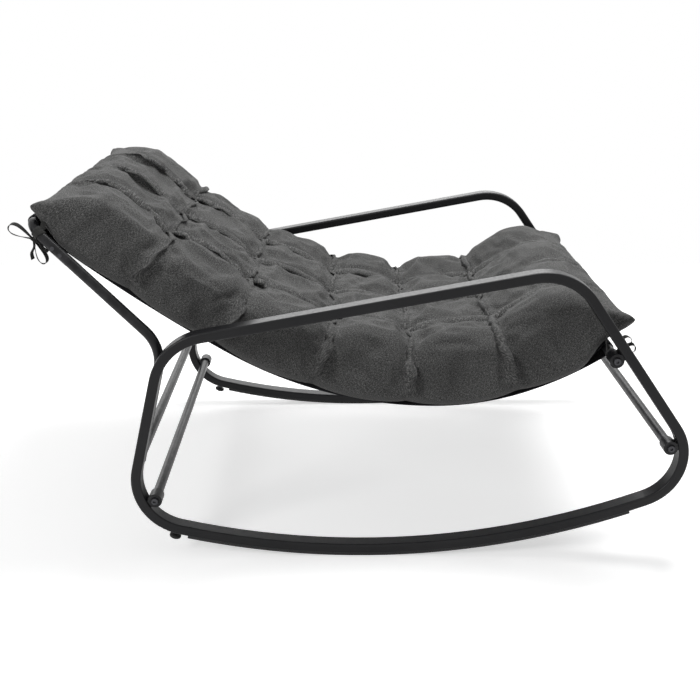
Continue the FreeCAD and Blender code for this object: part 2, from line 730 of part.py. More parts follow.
def head_hoop():
    """The head bar with a bend and a short arm at each end."""
    name = "head_hoop"
    body = doc.addObject("PartDesign::Body", name + "_tube")
    half, radius, arm = back_half_span, size["hoop_radius"], size["hoop_arm"]
    half_formula = "(side_span / 2 - rail_width - leg_gap - tube_radius)"
    pieces = [
        Part.LineSegment(Vector(arm, -half, 0), Vector(radius, -half, 0)),
        local_arc(radius, radius - half, radius, 180, 270),
        Part.LineSegment(Vector(0, radius - half, 0), Vector(0, half - radius, 0)),
        local_arc(radius, half - radius, radius, 90, 180),
        Part.LineSegment(Vector(radius, half, 0), Vector(arm, half, 0)),
    ]
    path = body.newObject("Sketcher::SketchObject", name + "_path")
    path.AttachmentSupport = [(plane_of(body, "XY_Plane"), "")]
    path.MapMode = "FlatFace"
    path.addGeometry(pieces, False)
    # Each arc runs the other way round from the lines beside it
    for first, first_end, second, second_end in (
        (0, 2, 1, 2), (1, 1, 2, 1), (2, 2, 3, 2), (3, 1, 4, 1),
    ):
        path.addConstraint(Sketcher.Constraint("Tangent", first, first_end, second, second_end))
    for label, formula, *constraint in (
        ("right_y", half_formula, "DistanceY", 0, 1, -1, 1, half),
        ("left_y", half_formula, "DistanceY", -1, 1, 4, 2, half),
        ("right_x", "hoop_arm", "DistanceX", -1, 1, 0, 1, arm),
        ("left_x", "hoop_arm", "DistanceX", -1, 1, 4, 2, arm),
        ("right_bend", "hoop_radius", "Radius", 1, radius),
        ("left_bend", "hoop_radius", "Radius", 3, radius),
        (None, None, "Vertical", 2),
        (None, None, "PointOnObject", 2, 1, -2),
        (None, None, "Horizontal", 0),
    ):
        index = path.addConstraint(Sketcher.Constraint(*constraint))
        if label:
            path.renameConstraint(index, label)
            bind(path, **{"Constraints_at_" + label: formula})
    section = ring_sketch(body, "YZ_Plane", name + "_section")
    bind(
        section,
        AttachmentOffset_at_Base_at_x="-1 * " + half_formula, AttachmentOffset_at_Base_at_z="hoop_arm",
    )
    swept_tube(body, name + "_pipe", section, path)
    body.Placement = Placement(head_bar, Rotation(ALONG_Y, size["back_slope"]))
    node(cut(name, body, [rivet_drill(name, side, "hoop") for side in SIDES]), name)


def spigots():
    """The inner sleeves that join the hoop to the legs."""
    name = "hoop_spigots"
    sleeves = []
    for side, sign in SIDES.items():
        start = across(hoop_end + back_way * size["spigot_in_hoop"], sign * back_half_span)
        way = back_way * -1
        length = "spigot_in_hoop + spigot_in_leg"
        outer_formula = "tube_radius - tube_wall - thread_fit"
        outer = rod(f"{name}_{side}_outer", outer_formula, length, start, way)
        bore = rod(f"{name}_{side}_bore", outer_formula + " - spigot_wall", length, start, way)
        drills = [rivet_drill(name, side, part) for part in ("hoop", "leg")]
        sleeves.append(cut(f"{name}_{side}", outer, [bore] + drills))
    node(group(name, sleeves), name)


def rivets():
    """Two rivets through each joint, with a low head on both sides."""
    name = "hoop_rivets"
    pieces = []
    for side, sign in SIDES.items():
        for part in ("hoop", "leg"):
            middle = across(rivet_point(part), sign * back_half_span)
            edge = ALONG_Y * size["tube_radius"]
            label = f"{name}_{side}_{part}"
            shank = rod(label + "_shank", "rivet_radius", "2 * tube_radius", middle - edge, ALONG_Y)
            heads = [
                rod(
                    f"{label}_head{number}", "rivet_head_radius", "rivet_head",
                    middle + way * size["tube_radius"], way,
                )
                for number, way in enumerate((ALONG_Y, ALONG_Y * -1))
            ]
            pieces.append(together(label, [shank] + heads))
    node(group(name, pieces), name)


def back_cross_tube():
    """The tube between the legs, its ends shaped to them."""
    name = "back_cross_tube"
    centre = at_height(leg_line, rear_way, size["back_cross_height"])
    tube = cross_tube(name + "_blank", centre, "side_span - 2 * (rail_width + leg_gap + tube_radius)")
    legs = [
        rod(f"{name}_leg_{side}", "tube_radius", "knee_height - leg_foot_height",
            across(leg_foot, sign * back_half_span), rear_way)
        for side, sign in SIDES.items()
    ]
    node(cut(name, tube, legs), name)


def leg_plugs():
    name = "back_leg_plugs"
    plugs = []
    for side, sign in SIDES.items():
        end = across(leg_foot, sign * back_half_span)
        label = f"{name}_{side}"
        cap = rod(label + "_cap", "tube_radius", "plug_cap", end, rear_way * -1)
        stem = rod(
            label + "_stem", "tube_radius - tube_wall - thread_fit", "plug_length - plug_cap", end, rear_way,
        )
        plugs.append(together(label, [cap, stem]))
    node(group(name, plugs), name)


def leg_fasteners():
    """Spacers, rivet nuts and bolts between the back legs and the uprights."""
    spacers, nuts, bolts = [], [], []
    for side, sign in SIDES.items():
        outward = ALONG_Y * sign
        for number, point in enumerate(leg_bolt_points):
            end = f"_{side}_{number}"
            leg_inner = across(point, sign * (back_half_span - size["tube_radius"]))
            leg_outer = across(point, sign * (back_half_span + size["tube_radius"]))
            wall = across(point, sign * rail_inner_y)
            spacer = rod("spacer" + end, "spacer_radius", "leg_gap - nut_flange", leg_outer, outward)
            spacer_hole = rod(
                "spacer_hole" + end, "leg_bolt_radius + thread_fit", "leg_gap", leg_outer, outward,
            )
            spacers.append(cut("leg_spacer" + end, spacer, [spacer_hole]))
            flange = rod("flange" + end, "nut_flange_radius", "nut_flange", wall, outward * -1)
            sleeve = rod("sleeve" + end, "nut_radius", "nut_length", wall, outward)
            thread = rod(
                "nut_thread" + end, "leg_bolt_radius + thread_fit", "nut_length + 2 * nut_flange",
                wall - outward * size["nut_flange"], outward,
            )
            nuts.append(cut("rivet_nut" + end, together("nut_blank" + end, [flange, sleeve]), [thread]))
            bolts.append(socket_bolt(
                "leg_bolt" + end, leg_inner, outward,
                ("leg_bolt_radius", "2 * tube_radius + leg_gap + nut_length"),
                ("leg_bolt_head_radius", "leg_bolt_head_height"),
            ))
    node(group("leg_spacers", spacers), "leg_spacers")
    node(group("rivet_nuts", nuts), "rivet_nuts")
    node(group("leg_bolts", bolts), "leg_bolts")


# Anti-tip feet

def foot(side):
    """A nut in the tube, a stud that screws through it and a pad on the stud."""
    y = SIDES[side] * rail_mid_y
    seat = across(foot_seat, y)
    inward = foot_way * -1
    flange = rod("foot_flange_" + side, "nut_flange_radius", "nut_flange", seat, foot_way)
    sleeve = rod("foot_sleeve_" + side, "nut_radius", "nut_length", seat, inward)
    thread = rod(
        "foot_thread_" + side, "foot_stud_radius + thread_fit", "nut_length + 2 * nut_flange",
        seat + foot_way * size["nut_flange"], inward,
    )
    blank = together("foot_nut_blank_" + side, [flange, sleeve])
    node(cut("foot_nut_" + side, blank, [thread]), "foot_nut_" + side)
    bottom = seat + foot_way * (size["foot_drop"] + size["foot_pad_bore"])
    stud = rod(
        "foot_stud_" + side, "foot_stud_radius", "foot_stud_inside + foot_drop + foot_pad_bore",
        bottom, inward,
    )
    node(stud, "foot_stud_" + side)
    top = seat + foot_way * size["foot_drop"]
    disc = rod("foot_disc_" + side, "foot_pad_radius", "foot_pad_height", top, foot_way)
    doc.recompute()
    soft_edge = doc.addObject("Part::Fillet", "foot_disc_rounded_" + side)
    soft_edge.Base = disc
    radius = size["foot_pad_rounding"]
    rims = [
        number for number, edge in enumerate(disc.Shape.Edges, start=1)
        if isinstance(edge.Curve, Part.Circle)
    ]
    soft_edge.Edges = [(number, radius, radius) for number in rims]
    bore = rod("foot_bore_" + side, "foot_stud_radius", "foot_pad_bore", top, foot_way)
    node(cut("foot_pad_" + side, soft_edge, [bore]), "foot_pad_" + side)


# Sling and cushion follow one line of arcs from the head bar to the seat bar

def arc_from(start, way, end):
    """The arc that leaves a point in a direction and reaches another point."""
    chord = end - start
    side = flat(-way.z, way.x)
    radius = chord.dot(chord) / (2 * side.dot(chord))
    sweep = 2 * math.degrees(math.asin(chord.Length / (2 * radius)))
    return {"start": start, "way": way, "radius": radius, "sweep": sweep}


def arc_place(arc, share):
    """Point, direction and upward normal at a share of an arc."""
    turn = math.radians(arc["sweep"] * share)
    side = flat(-arc["way"].z, arc["way"].x)
    point = arc["start"] + (arc["way"] * math.sin(turn) + side * (1 - math.cos(turn))) * arc["radius"]
    way = arc["way"] * math.cos(turn) + side * math.sin(turn)
    return point, way, flat(-way.z, way.x)


def arc_length(arc):
    return arc["radius"] * math.radians(arc["sweep"])


def two_arcs(start, start_way, end, end_way):
    """Two tangent arcs between two points with given directions."""
    chord = end - start
    ways = start_way + end_way
    spread = 2 * (1 - start_way.dot(end_way))
    lean = chord.dot(ways)
    reach = (math.sqrt(lean**2 + spread * chord.dot(chord)) - lean) / spread
    joint = (start + start_way * reach + end - end_way * reach) * 0.5
    first = arc_from(start, start_way, joint)
    second = arc_from(joint, arc_place(first, 1)[1], end)
    return [first, second]


under_bar = size["tube_radius"] + size["cloth_gap"] + size["sling_thickness"] / 2
sling_start = head_bar + heading(270 - size["sling_head_slope"]) * under_bar
sling_end = seat_bar + heading(270 + size["sling_front_slope"]) * under_bar
sling_low = flat(size["sling_low_x"], size["sling_low_height"] + size["sling_thickness"] / 2)
sling_line = two_arcs(sling_start, heading(-size["sling_head_slope"]), sling_low, heading(0))
sling_line += two_arcs(sling_low, heading(0), sling_end, heading(size["sling_front_slope"]))
sling_length = sum(arc_length(arc) for arc in sling_line)
sling_half = back_half_span - size["hoop_radius"] - size["sling_side_gap"]


def sling_place(distance):
    """Point, direction and normal at a distance along the sling from the head bar."""
    for arc in sling_line[:-1]:
        if distance <= arc_length(arc):
            return arc_place(arc, distance / arc_length(arc))
        distance -= arc_length(arc)
    return arc_place(sling_line[-1], distance / arc_length(sling_line[-1]))


def sleeve(centre, radius):
    return Part.makeCylinder(radius, 2 * sling_half, across(centre, -sling_half), ALONG_Y)


def across_sling(face):
    """A flat outline made as wide as the sling."""
    solid = face.extrude(ALONG_Y * (2 * sling_half))
    solid.translate(ALONG_Y * -sling_half)
    return solid


def casing_top(bar, distance, turn):
    """The cloth from the top of a bar down to the seam, turning away from the bar's middle."""
    seam = sling_place(distance)[0]
    reach = seam - bar
    tilt = math.degrees(math.acos(under_bar / reach.Length))
    slope = math.degrees(math.atan2(reach.z, reach.x))
    outward = heading(slope + turn * tilt)
    top = bar + outward * under_bar
    half = outward * (size["sling_thickness"] / 2)
    corners = [top + half, seam + half, seam - half, top - half, top + half]
    return across_sling(Part.Face(Part.makePolygon(corners)))


def sling():
    """A thin sheet along the sling's line, with a casing round each bar."""
    half = size["sling_thickness"] / 2
    faces = []
    for offset in (half, -half):
        edges = []
        for arc in sling_line:
            points = []
            for share in (0, 0.5, 1):
                point, way, normal = arc_place(arc, share)
                points.append(point + normal * offset)
            edges.append(Part.Arc(*points).toShape())
        faces.append(edges)
    upper, lower = faces
    ends = [
        Part.makeLine(upper[-1].Vertexes[1].Point, lower[-1].Vertexes[1].Point),
        Part.makeLine(lower[0].Vertexes[0].Point, upper[0].Vertexes[0].Point),
    ]
    outline = Part.Wire(Part.__sortEdges__(upper + lower + ends))
    inner = size["tube_radius"] + size["cloth_gap"]
    outer = inner + size["sling_thickness"]
    shape = across_sling(Part.Face(outline))
    seams = ((head_bar, size["sling_casing"], 1), (seat_bar, sling_length - size["sling_casing"], -1))
    for bar, distance, turn in seams:
        shape = shape.fuse([sleeve(bar, outer), casing_top(bar, distance, turn)])
    for bar, distance, turn in seams:
        shape = shape.cut(sleeve(bar, inner))
    return shape.removeSplitter()


cushion_half = rail_inner_y - size["cushion_side_gap"]
column_pitch = (cushion_half - size["side_seam"]) / (COLUMNS / 2)
foot_half = cushion_half - size["side_undercut"]
ROWS = ("row_one", "row_two", "row_three", "row_four", "row_five", "row_six")


def underside_lift(distance):
    """How far the cushion's underside is above the sling: it rises over each bar."""
    to_bar = max(0, min(distance, sling_length - distance))
    return size["bar_lift"] * max(0, 1 - to_bar / size["lift_reach"])


def section_wire(distance, form):
    """One section of the cushion: a straight base, two side arcs and an arc per column."""
    point, way, normal = sling_place(distance)
    lift = underside_lift(distance)
    base = point + normal * (size["sling_thickness"] / 2 + size["cushion_gap"])

    def place(y, height):
        return base + ALONG_Y * y + normal * height

    def arc(*places):
        return Part.Arc(*[place(*where) for where in places]).toShape()

    seams = [(column - COLUMNS / 2) * column_pitch for column in range(COLUMNS + 1)]
    seams[0], seams[-1] = -form["shoulder_half"], form["shoulder_half"]
    tops = [form["shoulder"]] + [form["channel"]] * (COLUMNS - 1) + [form["shoulder"]]
    side_middle = (form["shoulder"] + lift) / 2
    foot = (foot_half, lift)
    side = (form["side_half"], side_middle)
    shoulder = (form["shoulder_half"], form["shoulder"])
    edges = [Part.makeLine(place(-foot[0], foot[1]), place(*foot)), arc(foot, side, shoulder)]
    for column in reversed(range(COLUMNS)):
        middle = (column - COLUMNS / 2 + 0.5) * column_pitch
        edges.append(arc(
            (seams[column + 1], tops[column + 1]), (middle, form["crest"]), (seams[column], tops[column]),
        ))
    edges.append(arc((-shoulder[0], shoulder[1]), (-side[0], side[1]), (-foot[0], foot[1])))
    return Part.Wire(edges)


def full_form(crest):
    """The section of a row where it is fullest."""
    return {
        "side_half": cushion_half, "shoulder_half": cushion_half - size["side_seam"],
        "shoulder": size["side_height"], "channel": size["channel_height"], "crest": crest,
    }


def tufted_form(height):
    """The section at a seam between two rows, drawn in at the tufts."""
    shoulder_half = cushion_half - size["side_draw"]
    return {
        "side_half": shoulder_half + size["seam_swell"], "shoulder_half": shoulder_half,
        "shoulder": height * SHOULDER_SHARE, "channel": height, "crest": height + size["tuck_crest"],
    }


def end_form():
    """The section at an end seam."""
    top = size["bar_lift"] + size["end_height"] / 2
    return {
        "side_half": foot_half + 2 * size["seam_swell"], "shoulder_half": foot_half + size["seam_swell"],
        "shoulder": top, "channel": top, "crest": top + size["seam_swell"],
    }


def cushion():
    """A ruled loft of sections along the sling, full in each row and drawn in between."""
    seams = [end_form()] + [tufted_form(size["tuft_height"])] * (len(ROWS) - 2)
    seams += [tufted_form(size["front_tuft_height"]), end_form()]
    start = -size["head_overhang"]
    wires = [section_wire(start, seams[0])]
    for row, length in enumerate(ROWS):
        share = row / (len(ROWS) - 1)
        full = full_form(size["back_crest"] + share * (size["seat_crest"] - size["back_crest"]))
        for way_through in SECTION_SHARES:
            narrow = seams[row] if way_through < 0.5 else seams[row + 1]
            fullness = math.sin(math.pi * way_through) ** PUFF_ROUNDNESS
            form = {key: narrow[key] + fullness * (full[key] - narrow[key]) for key in full}
            wires.append(section_wire(start + way_through * size[length], form))
        start += size[length]
    return Part.makeLoft(wires, True, True)


# Ties

def ribbon_solid(face):
    """A flat outline given the ribbon's width, centred on its own plane."""
    solid = face.extrude(ALONG_Y * size["tie_width"])
    solid.translate(ALONG_Y * (-size["tie_width"] / 2))
    return solid


def lens(start, way, length, half_height):
    """A pointed oval between two arcs."""
    side = flat(-way.z, way.x)
    finish = start + way * length
    middle = start + way * (length / 2)
    upper = Part.Arc(start, middle + side * half_height, finish).toShape()
    lower = Part.Arc(finish, middle - side * half_height, start).toShape()
    return Part.Face(Part.Wire([upper, lower]))


def ribbon_loop(knot, way, length):
    """A flat loop of ribbon that leaves a knot in a direction."""
    inset = size["tie_thickness"]
    half = size["tie_loop_height"] / 2
    outer = lens(knot, way, length, half)
    inner = lens(knot + way * (2 * inset), way, length - 4 * inset, half - inset)
    return ribbon_solid(outer.cut(inner))


def ribbon_tail(knot, way):
    side = flat(-way.z, way.x) * (size["tie_thickness"] / 2)
    tip = knot + way * size["tie_tail_length"]
    corners = [knot + side, tip + side, tip - side, knot - side, knot + side]
    return ribbon_solid(Part.Face(Part.makePolygon(corners)))


def tie(tube_point, tube_way, knot_way, loop_length, loop_angles, tail_angle):
    """A ribbon band round a tube, tied in a bow."""
    inner = size["tube_radius"] + size["cloth_gap"]
    outer = inner + size["tie_thickness"]
    start = tube_point - tube_way * (size["tie_width"] / 2)
    band = Part.makeCylinder(outer, size["tie_width"], start, tube_way)
    hole = Part.makeCylinder(inner, size["tie_width"], start, tube_way)
    knot = tube_point + knot_way * (outer + size["tie_knot_radius"] - size["tie_thickness"])
    shape = Part.makeCylinder(
        size["tie_knot_radius"], size["tie_width"] + size["tie_thickness"],
        knot - ALONG_Y * ((size["tie_width"] + size["tie_thickness"]) / 2), ALONG_Y,
    )
    for angle in loop_angles:
        shape = shape.fuse(ribbon_loop(knot, heading(angle), loop_length))
    shape = shape.fuse(ribbon_tail(knot, heading(tail_angle)))
    return shape.fuse(band).cut(hole)


def soft_piece(name, shape):
    item = doc.addObject("Part::Feature", name)
    item.Shape = shape
    node(item, name)


HEAD_LOOPS = (149, 289)
HEAD_TAIL = 320
FRONT_LOOPS = (56, 14)
FRONT_TAIL = 335
under_leg = heading(270 - size["back_slope"])
behind_bar = heading(35)
tie_inset = cup_inner_y - size["tie_cup_gap"] - (size["tie_width"] + size["tie_thickness"]) / 2


def hoop_bend_place(sign, degrees):
    """Point and direction of the head bar's tube in one of its bends."""
    radius = size["hoop_radius"]
    turn = math.radians(degrees)
    out = ALONG_Y * sign
    down = back_way * -1
    centre = head_bar + down * radius + out * (back_half_span - radius)
    point = centre + (out * math.sin(turn) - down * math.cos(turn)) * radius
    return point, out * math.cos(turn) + down * math.sin(turn)


for side_name, side_sign in SIDES.items():
    loop_edge = side_loop(side_name)
    for cup_name in CUPS:
        cup(cup_name, side_name, loop_edge)
    frame_bolts(side_name)
    wear_strip(side_name)
    strip_screws(side_name)
    back_leg(side_name)
    foot(side_name)
    tie_point, tie_way = hoop_bend_place(side_sign, size["tie_bend_angle"])
    soft_piece("head_tie_" + side_name, tie(
        tie_point, tie_way, under_leg, size["head_loop_length"], HEAD_LOOPS, HEAD_TAIL,
    ))
    soft_piece("front_tie_" + side_name, tie(
        across(seat_bar, side_sign * tie_inset), ALONG_Y, behind_bar,
        size["front_loop_length"], FRONT_LOOPS, FRONT_TAIL,
    ))
for tube_name, cup_name in (
    ("rear_cross_tube", "rear_tube_cup"),
    ("front_cross_tube", "front_tube_cup"),
    ("seat_bar", "seat_bar_cup"),
):
    node(cross_tube(tube_name, CUPS[cup_name][0], CUP_TUBE), tube_name)
    inserts(tube_name + "_inserts", CUPS[cup_name][0])
head_hoop()
spigots()
rivets()
back_cross_tube()
leg_plugs()
leg_fasteners()
soft_piece("sling", sling())
soft_piece("cushion", cushion())

doc.recompute()
for item in doc.Objects:
    if "Invalid" in item.State or "Error" in item.State:
        raise RuntimeError(f"{item.Name} failed: {item.State}")
os.makedirs("parts", exist_ok=True)
for item in nodes:
    if item.Shape.isNull() or not item.Shape.isValid() or item.Shape.Volume <= 0:
        raise RuntimeError(f"{item.Label} has no valid solid")
    item.Shape.exportStep(f"parts/{item.Label}.step")
print(f"{len(nodes)} pieces, sling line {sling_length:.1f} mm")
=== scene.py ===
import json
import math

import bpy
import numpy as np
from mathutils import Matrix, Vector


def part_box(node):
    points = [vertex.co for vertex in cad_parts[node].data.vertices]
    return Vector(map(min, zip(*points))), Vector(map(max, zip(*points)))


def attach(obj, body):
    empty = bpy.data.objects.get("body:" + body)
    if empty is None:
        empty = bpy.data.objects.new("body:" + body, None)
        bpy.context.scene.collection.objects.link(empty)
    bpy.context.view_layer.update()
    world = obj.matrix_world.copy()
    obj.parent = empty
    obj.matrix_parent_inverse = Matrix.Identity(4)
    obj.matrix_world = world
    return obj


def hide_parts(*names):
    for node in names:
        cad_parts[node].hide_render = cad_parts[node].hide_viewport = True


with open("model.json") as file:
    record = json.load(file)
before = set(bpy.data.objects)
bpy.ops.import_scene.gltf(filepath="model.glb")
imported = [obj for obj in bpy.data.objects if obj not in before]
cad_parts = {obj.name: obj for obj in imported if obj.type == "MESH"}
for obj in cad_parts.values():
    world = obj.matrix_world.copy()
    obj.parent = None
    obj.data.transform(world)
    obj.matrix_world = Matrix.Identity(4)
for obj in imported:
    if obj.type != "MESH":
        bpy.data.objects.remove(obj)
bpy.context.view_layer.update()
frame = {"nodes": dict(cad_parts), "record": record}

# Rocking chaise lounge. Metres, in the frame of the CAD: X towards the foot end,
# Y across, Z up, with the floor at 0. Right is the sitter's right, at negative Y.
MM = 0.001
SIDES = {"right": -1, "left": 1}
BODY = "frame"


# Places taken from the frame

def flat(x, z):
    return Vector((x, 0, z))


def heading(degrees):
    return flat(math.cos(math.radians(degrees)), math.sin(math.radians(degrees)))


def upward(way):
    """The direction square to another one in the XZ plane, on its upper side."""
    return flat(-way.z, way.x)


TUBE_RADIUS = 8.5 * MM
SLING_HEAD_SLOPE = -39
SLING_FRONT_SLOPE = 34
SLING_LOW_X = 137 * MM
SLING_THICKNESS = 1.6 * MM
CLOTH_GAP = 0.4 * MM

hoop_low, hoop_high = [Vector(corner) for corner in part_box("head_hoop")]
head_bar = flat(hoop_low.x + TUBE_RADIUS, hoop_high.z - TUBE_RADIUS)
bar_low, bar_high = [Vector(corner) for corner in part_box("seat_bar")]
seat_bar = flat((bar_low.x + bar_high.x) / 2, (bar_low.z + bar_high.z) / 2)
sling_low, sling_high = [Vector(corner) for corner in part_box("sling")]
sling_width = sling_high.y - sling_low.y
lowest = flat(SLING_LOW_X, sling_low.z + SLING_THICKNESS / 2)
UNDER_BAR = TUBE_RADIUS + CLOTH_GAP + SLING_THICKNESS / 2
sling_start = head_bar + heading(270 + SLING_HEAD_SLOPE) * UNDER_BAR
sling_end = seat_bar + heading(270 + SLING_FRONT_SLOPE) * UNDER_BAR


def arc_from(start, way, end):
    """The arc that leaves a point in a direction and reaches another point."""
    chord = end - start
    radius = chord.dot(chord) / (2 * upward(way).dot(chord))
    sweep = 2 * math.asin(chord.length / (2 * radius))
    return {"start": start, "way": way, "radius": radius, "sweep": sweep}


def arc_place(arc, share):
    """Point, direction and upward normal at a share of an arc."""
    turn = arc["sweep"] * share
    way = arc["way"]
    along = way * math.sin(turn) + upward(way) * (1 - math.cos(turn))
    point = arc["start"] + along * arc["radius"]
    way = way * math.cos(turn) + upward(way) * math.sin(turn)
    return point, way, upward(way)


def two_arcs(start, start_way, end, end_way):
    """Two tangent arcs between two points with given directions."""
    chord = end - start
    spread = 2 * (1 - start_way.dot(end_way))
    lean = chord.dot(start_way + end_way)
    reach = (math.sqrt(lean**2 + spread * chord.dot(chord)) - lean) / spread
    joint = (start + start_way * reach + end - end_way * reach) / 2
    first = arc_from(start, start_way, joint)
    return [first, arc_from(joint, arc_place(first, 1)[1], end)]


sling_line = two_arcs(sling_start, heading(SLING_HEAD_SLOPE), lowest, heading(0))
sling_line += two_arcs(lowest, heading(0), sling_end, heading(SLING_FRONT_SLOPE))
arc_lengths = [arc["radius"] * arc["sweep"] for arc in sling_line]
sling_length = sum(arc_lengths)


def sling_place(distance):
    """Point, direction and normal at a distance along the sling from the head bar."""
    for arc, length in zip(sling_line[:-1], arc_lengths[:-1]):
        if distance <= length:
            return arc_place(arc, distance / length)
        distance -= length
    return arc_place(sling_line[-1], distance / arc_lengths[-1])


# Mesh helpers

def new_piece(name, vertices, faces, material):
    """A mesh object that rides on the frame and takes the material it is given."""
    mesh = bpy.data.meshes.new(name)
    mesh.from_pydata([tuple(place) for place in vertices], [], faces)
    mesh.update()
    mesh.shade_smooth()
    piece = bpy.data.objects.new(name, mesh)
    bpy.context.scene.collection.objects.link(piece)
    mesh.materials.append(material)
    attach(piece, BODY)
    return piece


def grid_faces(rows, columns, close_rows=False, close_columns=False):
    """Quads over a grid of points that is stored row by row."""
    faces = []
    for row in range(rows if close_rows else rows - 1):
        for column in range(columns if close_columns else columns - 1):
            next_row = (row + 1) % rows
            next_column = (column + 1) % columns
            faces.append((
                row * columns + column, next_row * columns + column,
                next_row * columns + next_column, row * columns + next_column,
            ))
    return faces


# Materials

class Shader:
    """A material with a Principled surface and short calls for its nodes."""

    def __init__(self, name, color, roughness, specular=0.5, metallic=0.0):
        self.material = bpy.data.materials.new(name)
        self.material.use_nodes = True
        self.nodes = self.material.node_tree.nodes
        self.links = self.material.node_tree.links
        self.surface = self.nodes["Principled BSDF"]
        self.surface.inputs["Base Color"].default_value = (*color, 1)
        self.surface.inputs["Roughness"].default_value = roughness
        self.surface.inputs["Specular IOR Level"].default_value = specular
        self.surface.inputs["Metallic"].default_value = metallic
        self.place = self.nodes.new("ShaderNodeTexCoord").outputs["Object"]

    def link(self, output, target):
        self.links.new(output, target)

    def stretched(self, scale, place=None):
        """The place scaled along each axis."""
        mapping = self.nodes.new("ShaderNodeMapping")
        mapping.inputs["Scale"].default_value = scale
        self.link(place or self.place, mapping.inputs["Vector"])
        return mapping.outputs["Vector"]

    def noise(self, scale, detail=2.0, roughness=0.5, place=None):
        texture = self.nodes.new("ShaderNodeTexNoise")
        texture.inputs["Scale"].default_value = scale
        texture.inputs["Detail"].default_value = detail
        texture.inputs["Roughness"].default_value = roughness
        self.link(place or self.place, texture.inputs["Vector"])
        return texture.outputs["Fac"]

    def ramp(self, value, *stops):
        """A colour ramp; each stop is a position and a colour or a grey."""
        node = self.nodes.new("ShaderNodeValToRGB")
        elements = node.color_ramp.elements
        while len(elements) < len(stops):
            elements.new(0.5)
        for element, (position, color) in zip(elements, stops):
            element.position = position
            element.color = (*color, 1) if hasattr(color, "__len__") else (color, color, color, 1)
        self.link(value, node.inputs["Fac"])
        return node.outputs["Color"]

    def math(self, operation, first, second):
        node = self.nodes.new("ShaderNodeMath")
        node.operation = operation
        for socket, value in zip(node.inputs, (first, second)):
            if isinstance(value, (int, float)):
                socket.default_value = value
            else:
                self.link(value, socket)
        return node.outputs["Value"]

    def mixed(self, factor, first, second, blend="MIX"):
        node = self.nodes.new("ShaderNodeMix")
        node.data_type = "RGBA"
        node.blend_type = blend
        sockets = (node.inputs[0], node.inputs[6], node.inputs[7])
        for socket, value in zip(sockets, (factor, first, second)):
            if isinstance(value, (int, float)):
                socket.default_value = value
            elif isinstance(value, tuple):
                socket.default_value = (*value, 1)
            else:
                self.link(value, socket)
        return node.outputs[2]

    def bump(self, height, distance, strength=1.0):
        node = self.nodes.new("ShaderNodeBump")
        node.inputs["Distance"].default_value = distance
        node.inputs["Strength"].default_value = strength
        self.link(height, node.inputs["Height"])
        self.link(node.outputs["Normal"], self.surface.inputs["Normal"])

    def color(self, output):
        self.link(output, self.surface.inputs["Base Color"])

    def roughness(self, output):
        self.link(output, self.surface.inputs["Roughness"])


def powder_coat():
    """Satin near-black paint: fine orange peel, faint dust and paler rubbed edges."""
    shader = Shader("powder_coat", (0.005, 0.005, 0.006), 0.34, specular=0.26)
    edges = shader.nodes.new("ShaderNodeNewGeometry").outputs["Pointiness"]
    rubbed = shader.ramp(edges, (0.52, 0), (0.60, 1))
    patches = shader.ramp(shader.noise(35, 3), (0.45, 0), (0.7, 1))
    wear = shader.math("MULTIPLY", rubbed, patches)
    tone = shader.ramp(shader.noise(14, 4), (0.35, (0.003, 0.003, 0.004)), (0.7, (0.007, 0.007, 0.008)))
    shader.color(shader.mixed(wear, tone, (0.04, 0.04, 0.043)))
    shader.roughness(shader.ramp(shader.noise(220, 3), (0.3, 0.30), (0.75, 0.42)))
    shader.bump(shader.noise(900, 2), 0.05 * MM, 0.6)
    return shader.material


def hardware(name, color, roughness):
    """Machined steel with fine brushing and uneven tone."""
    shader = Shader(name, color, roughness, metallic=1.0)
    brushing = shader.noise(1, 3, place=shader.stretched((300, 3000, 300)))
    dark = tuple(0.7 * value for value in color)
    shader.color(shader.ramp(brushing, (0.3, dark), (0.7, color)))
    shader.roughness(shader.ramp(brushing, (0.3, roughness - 0.07), (0.7, roughness + 0.1)))
    shader.bump(brushing, 0.03 * MM, 0.5)
    return shader.material


def moulded(name, color, roughness, grain):
    """Moulded plastic or rubber with a fine grain and scuffed patches."""
    shader = Shader(name, color, roughness, specular=0.4)
    scuffed = shader.noise(60, 4)
    pale = tuple(1.6 * value + 0.004 for value in color)
    shader.color(shader.ramp(scuffed, (0.45, color), (0.8, pale)))
    shader.roughness(shader.ramp(scuffed, (0.4, roughness), (0.8, min(1.0, roughness + 0.18))))
    shader.bump(shader.noise(grain, 2), 0.08 * MM, 0.8)
    return shader.material


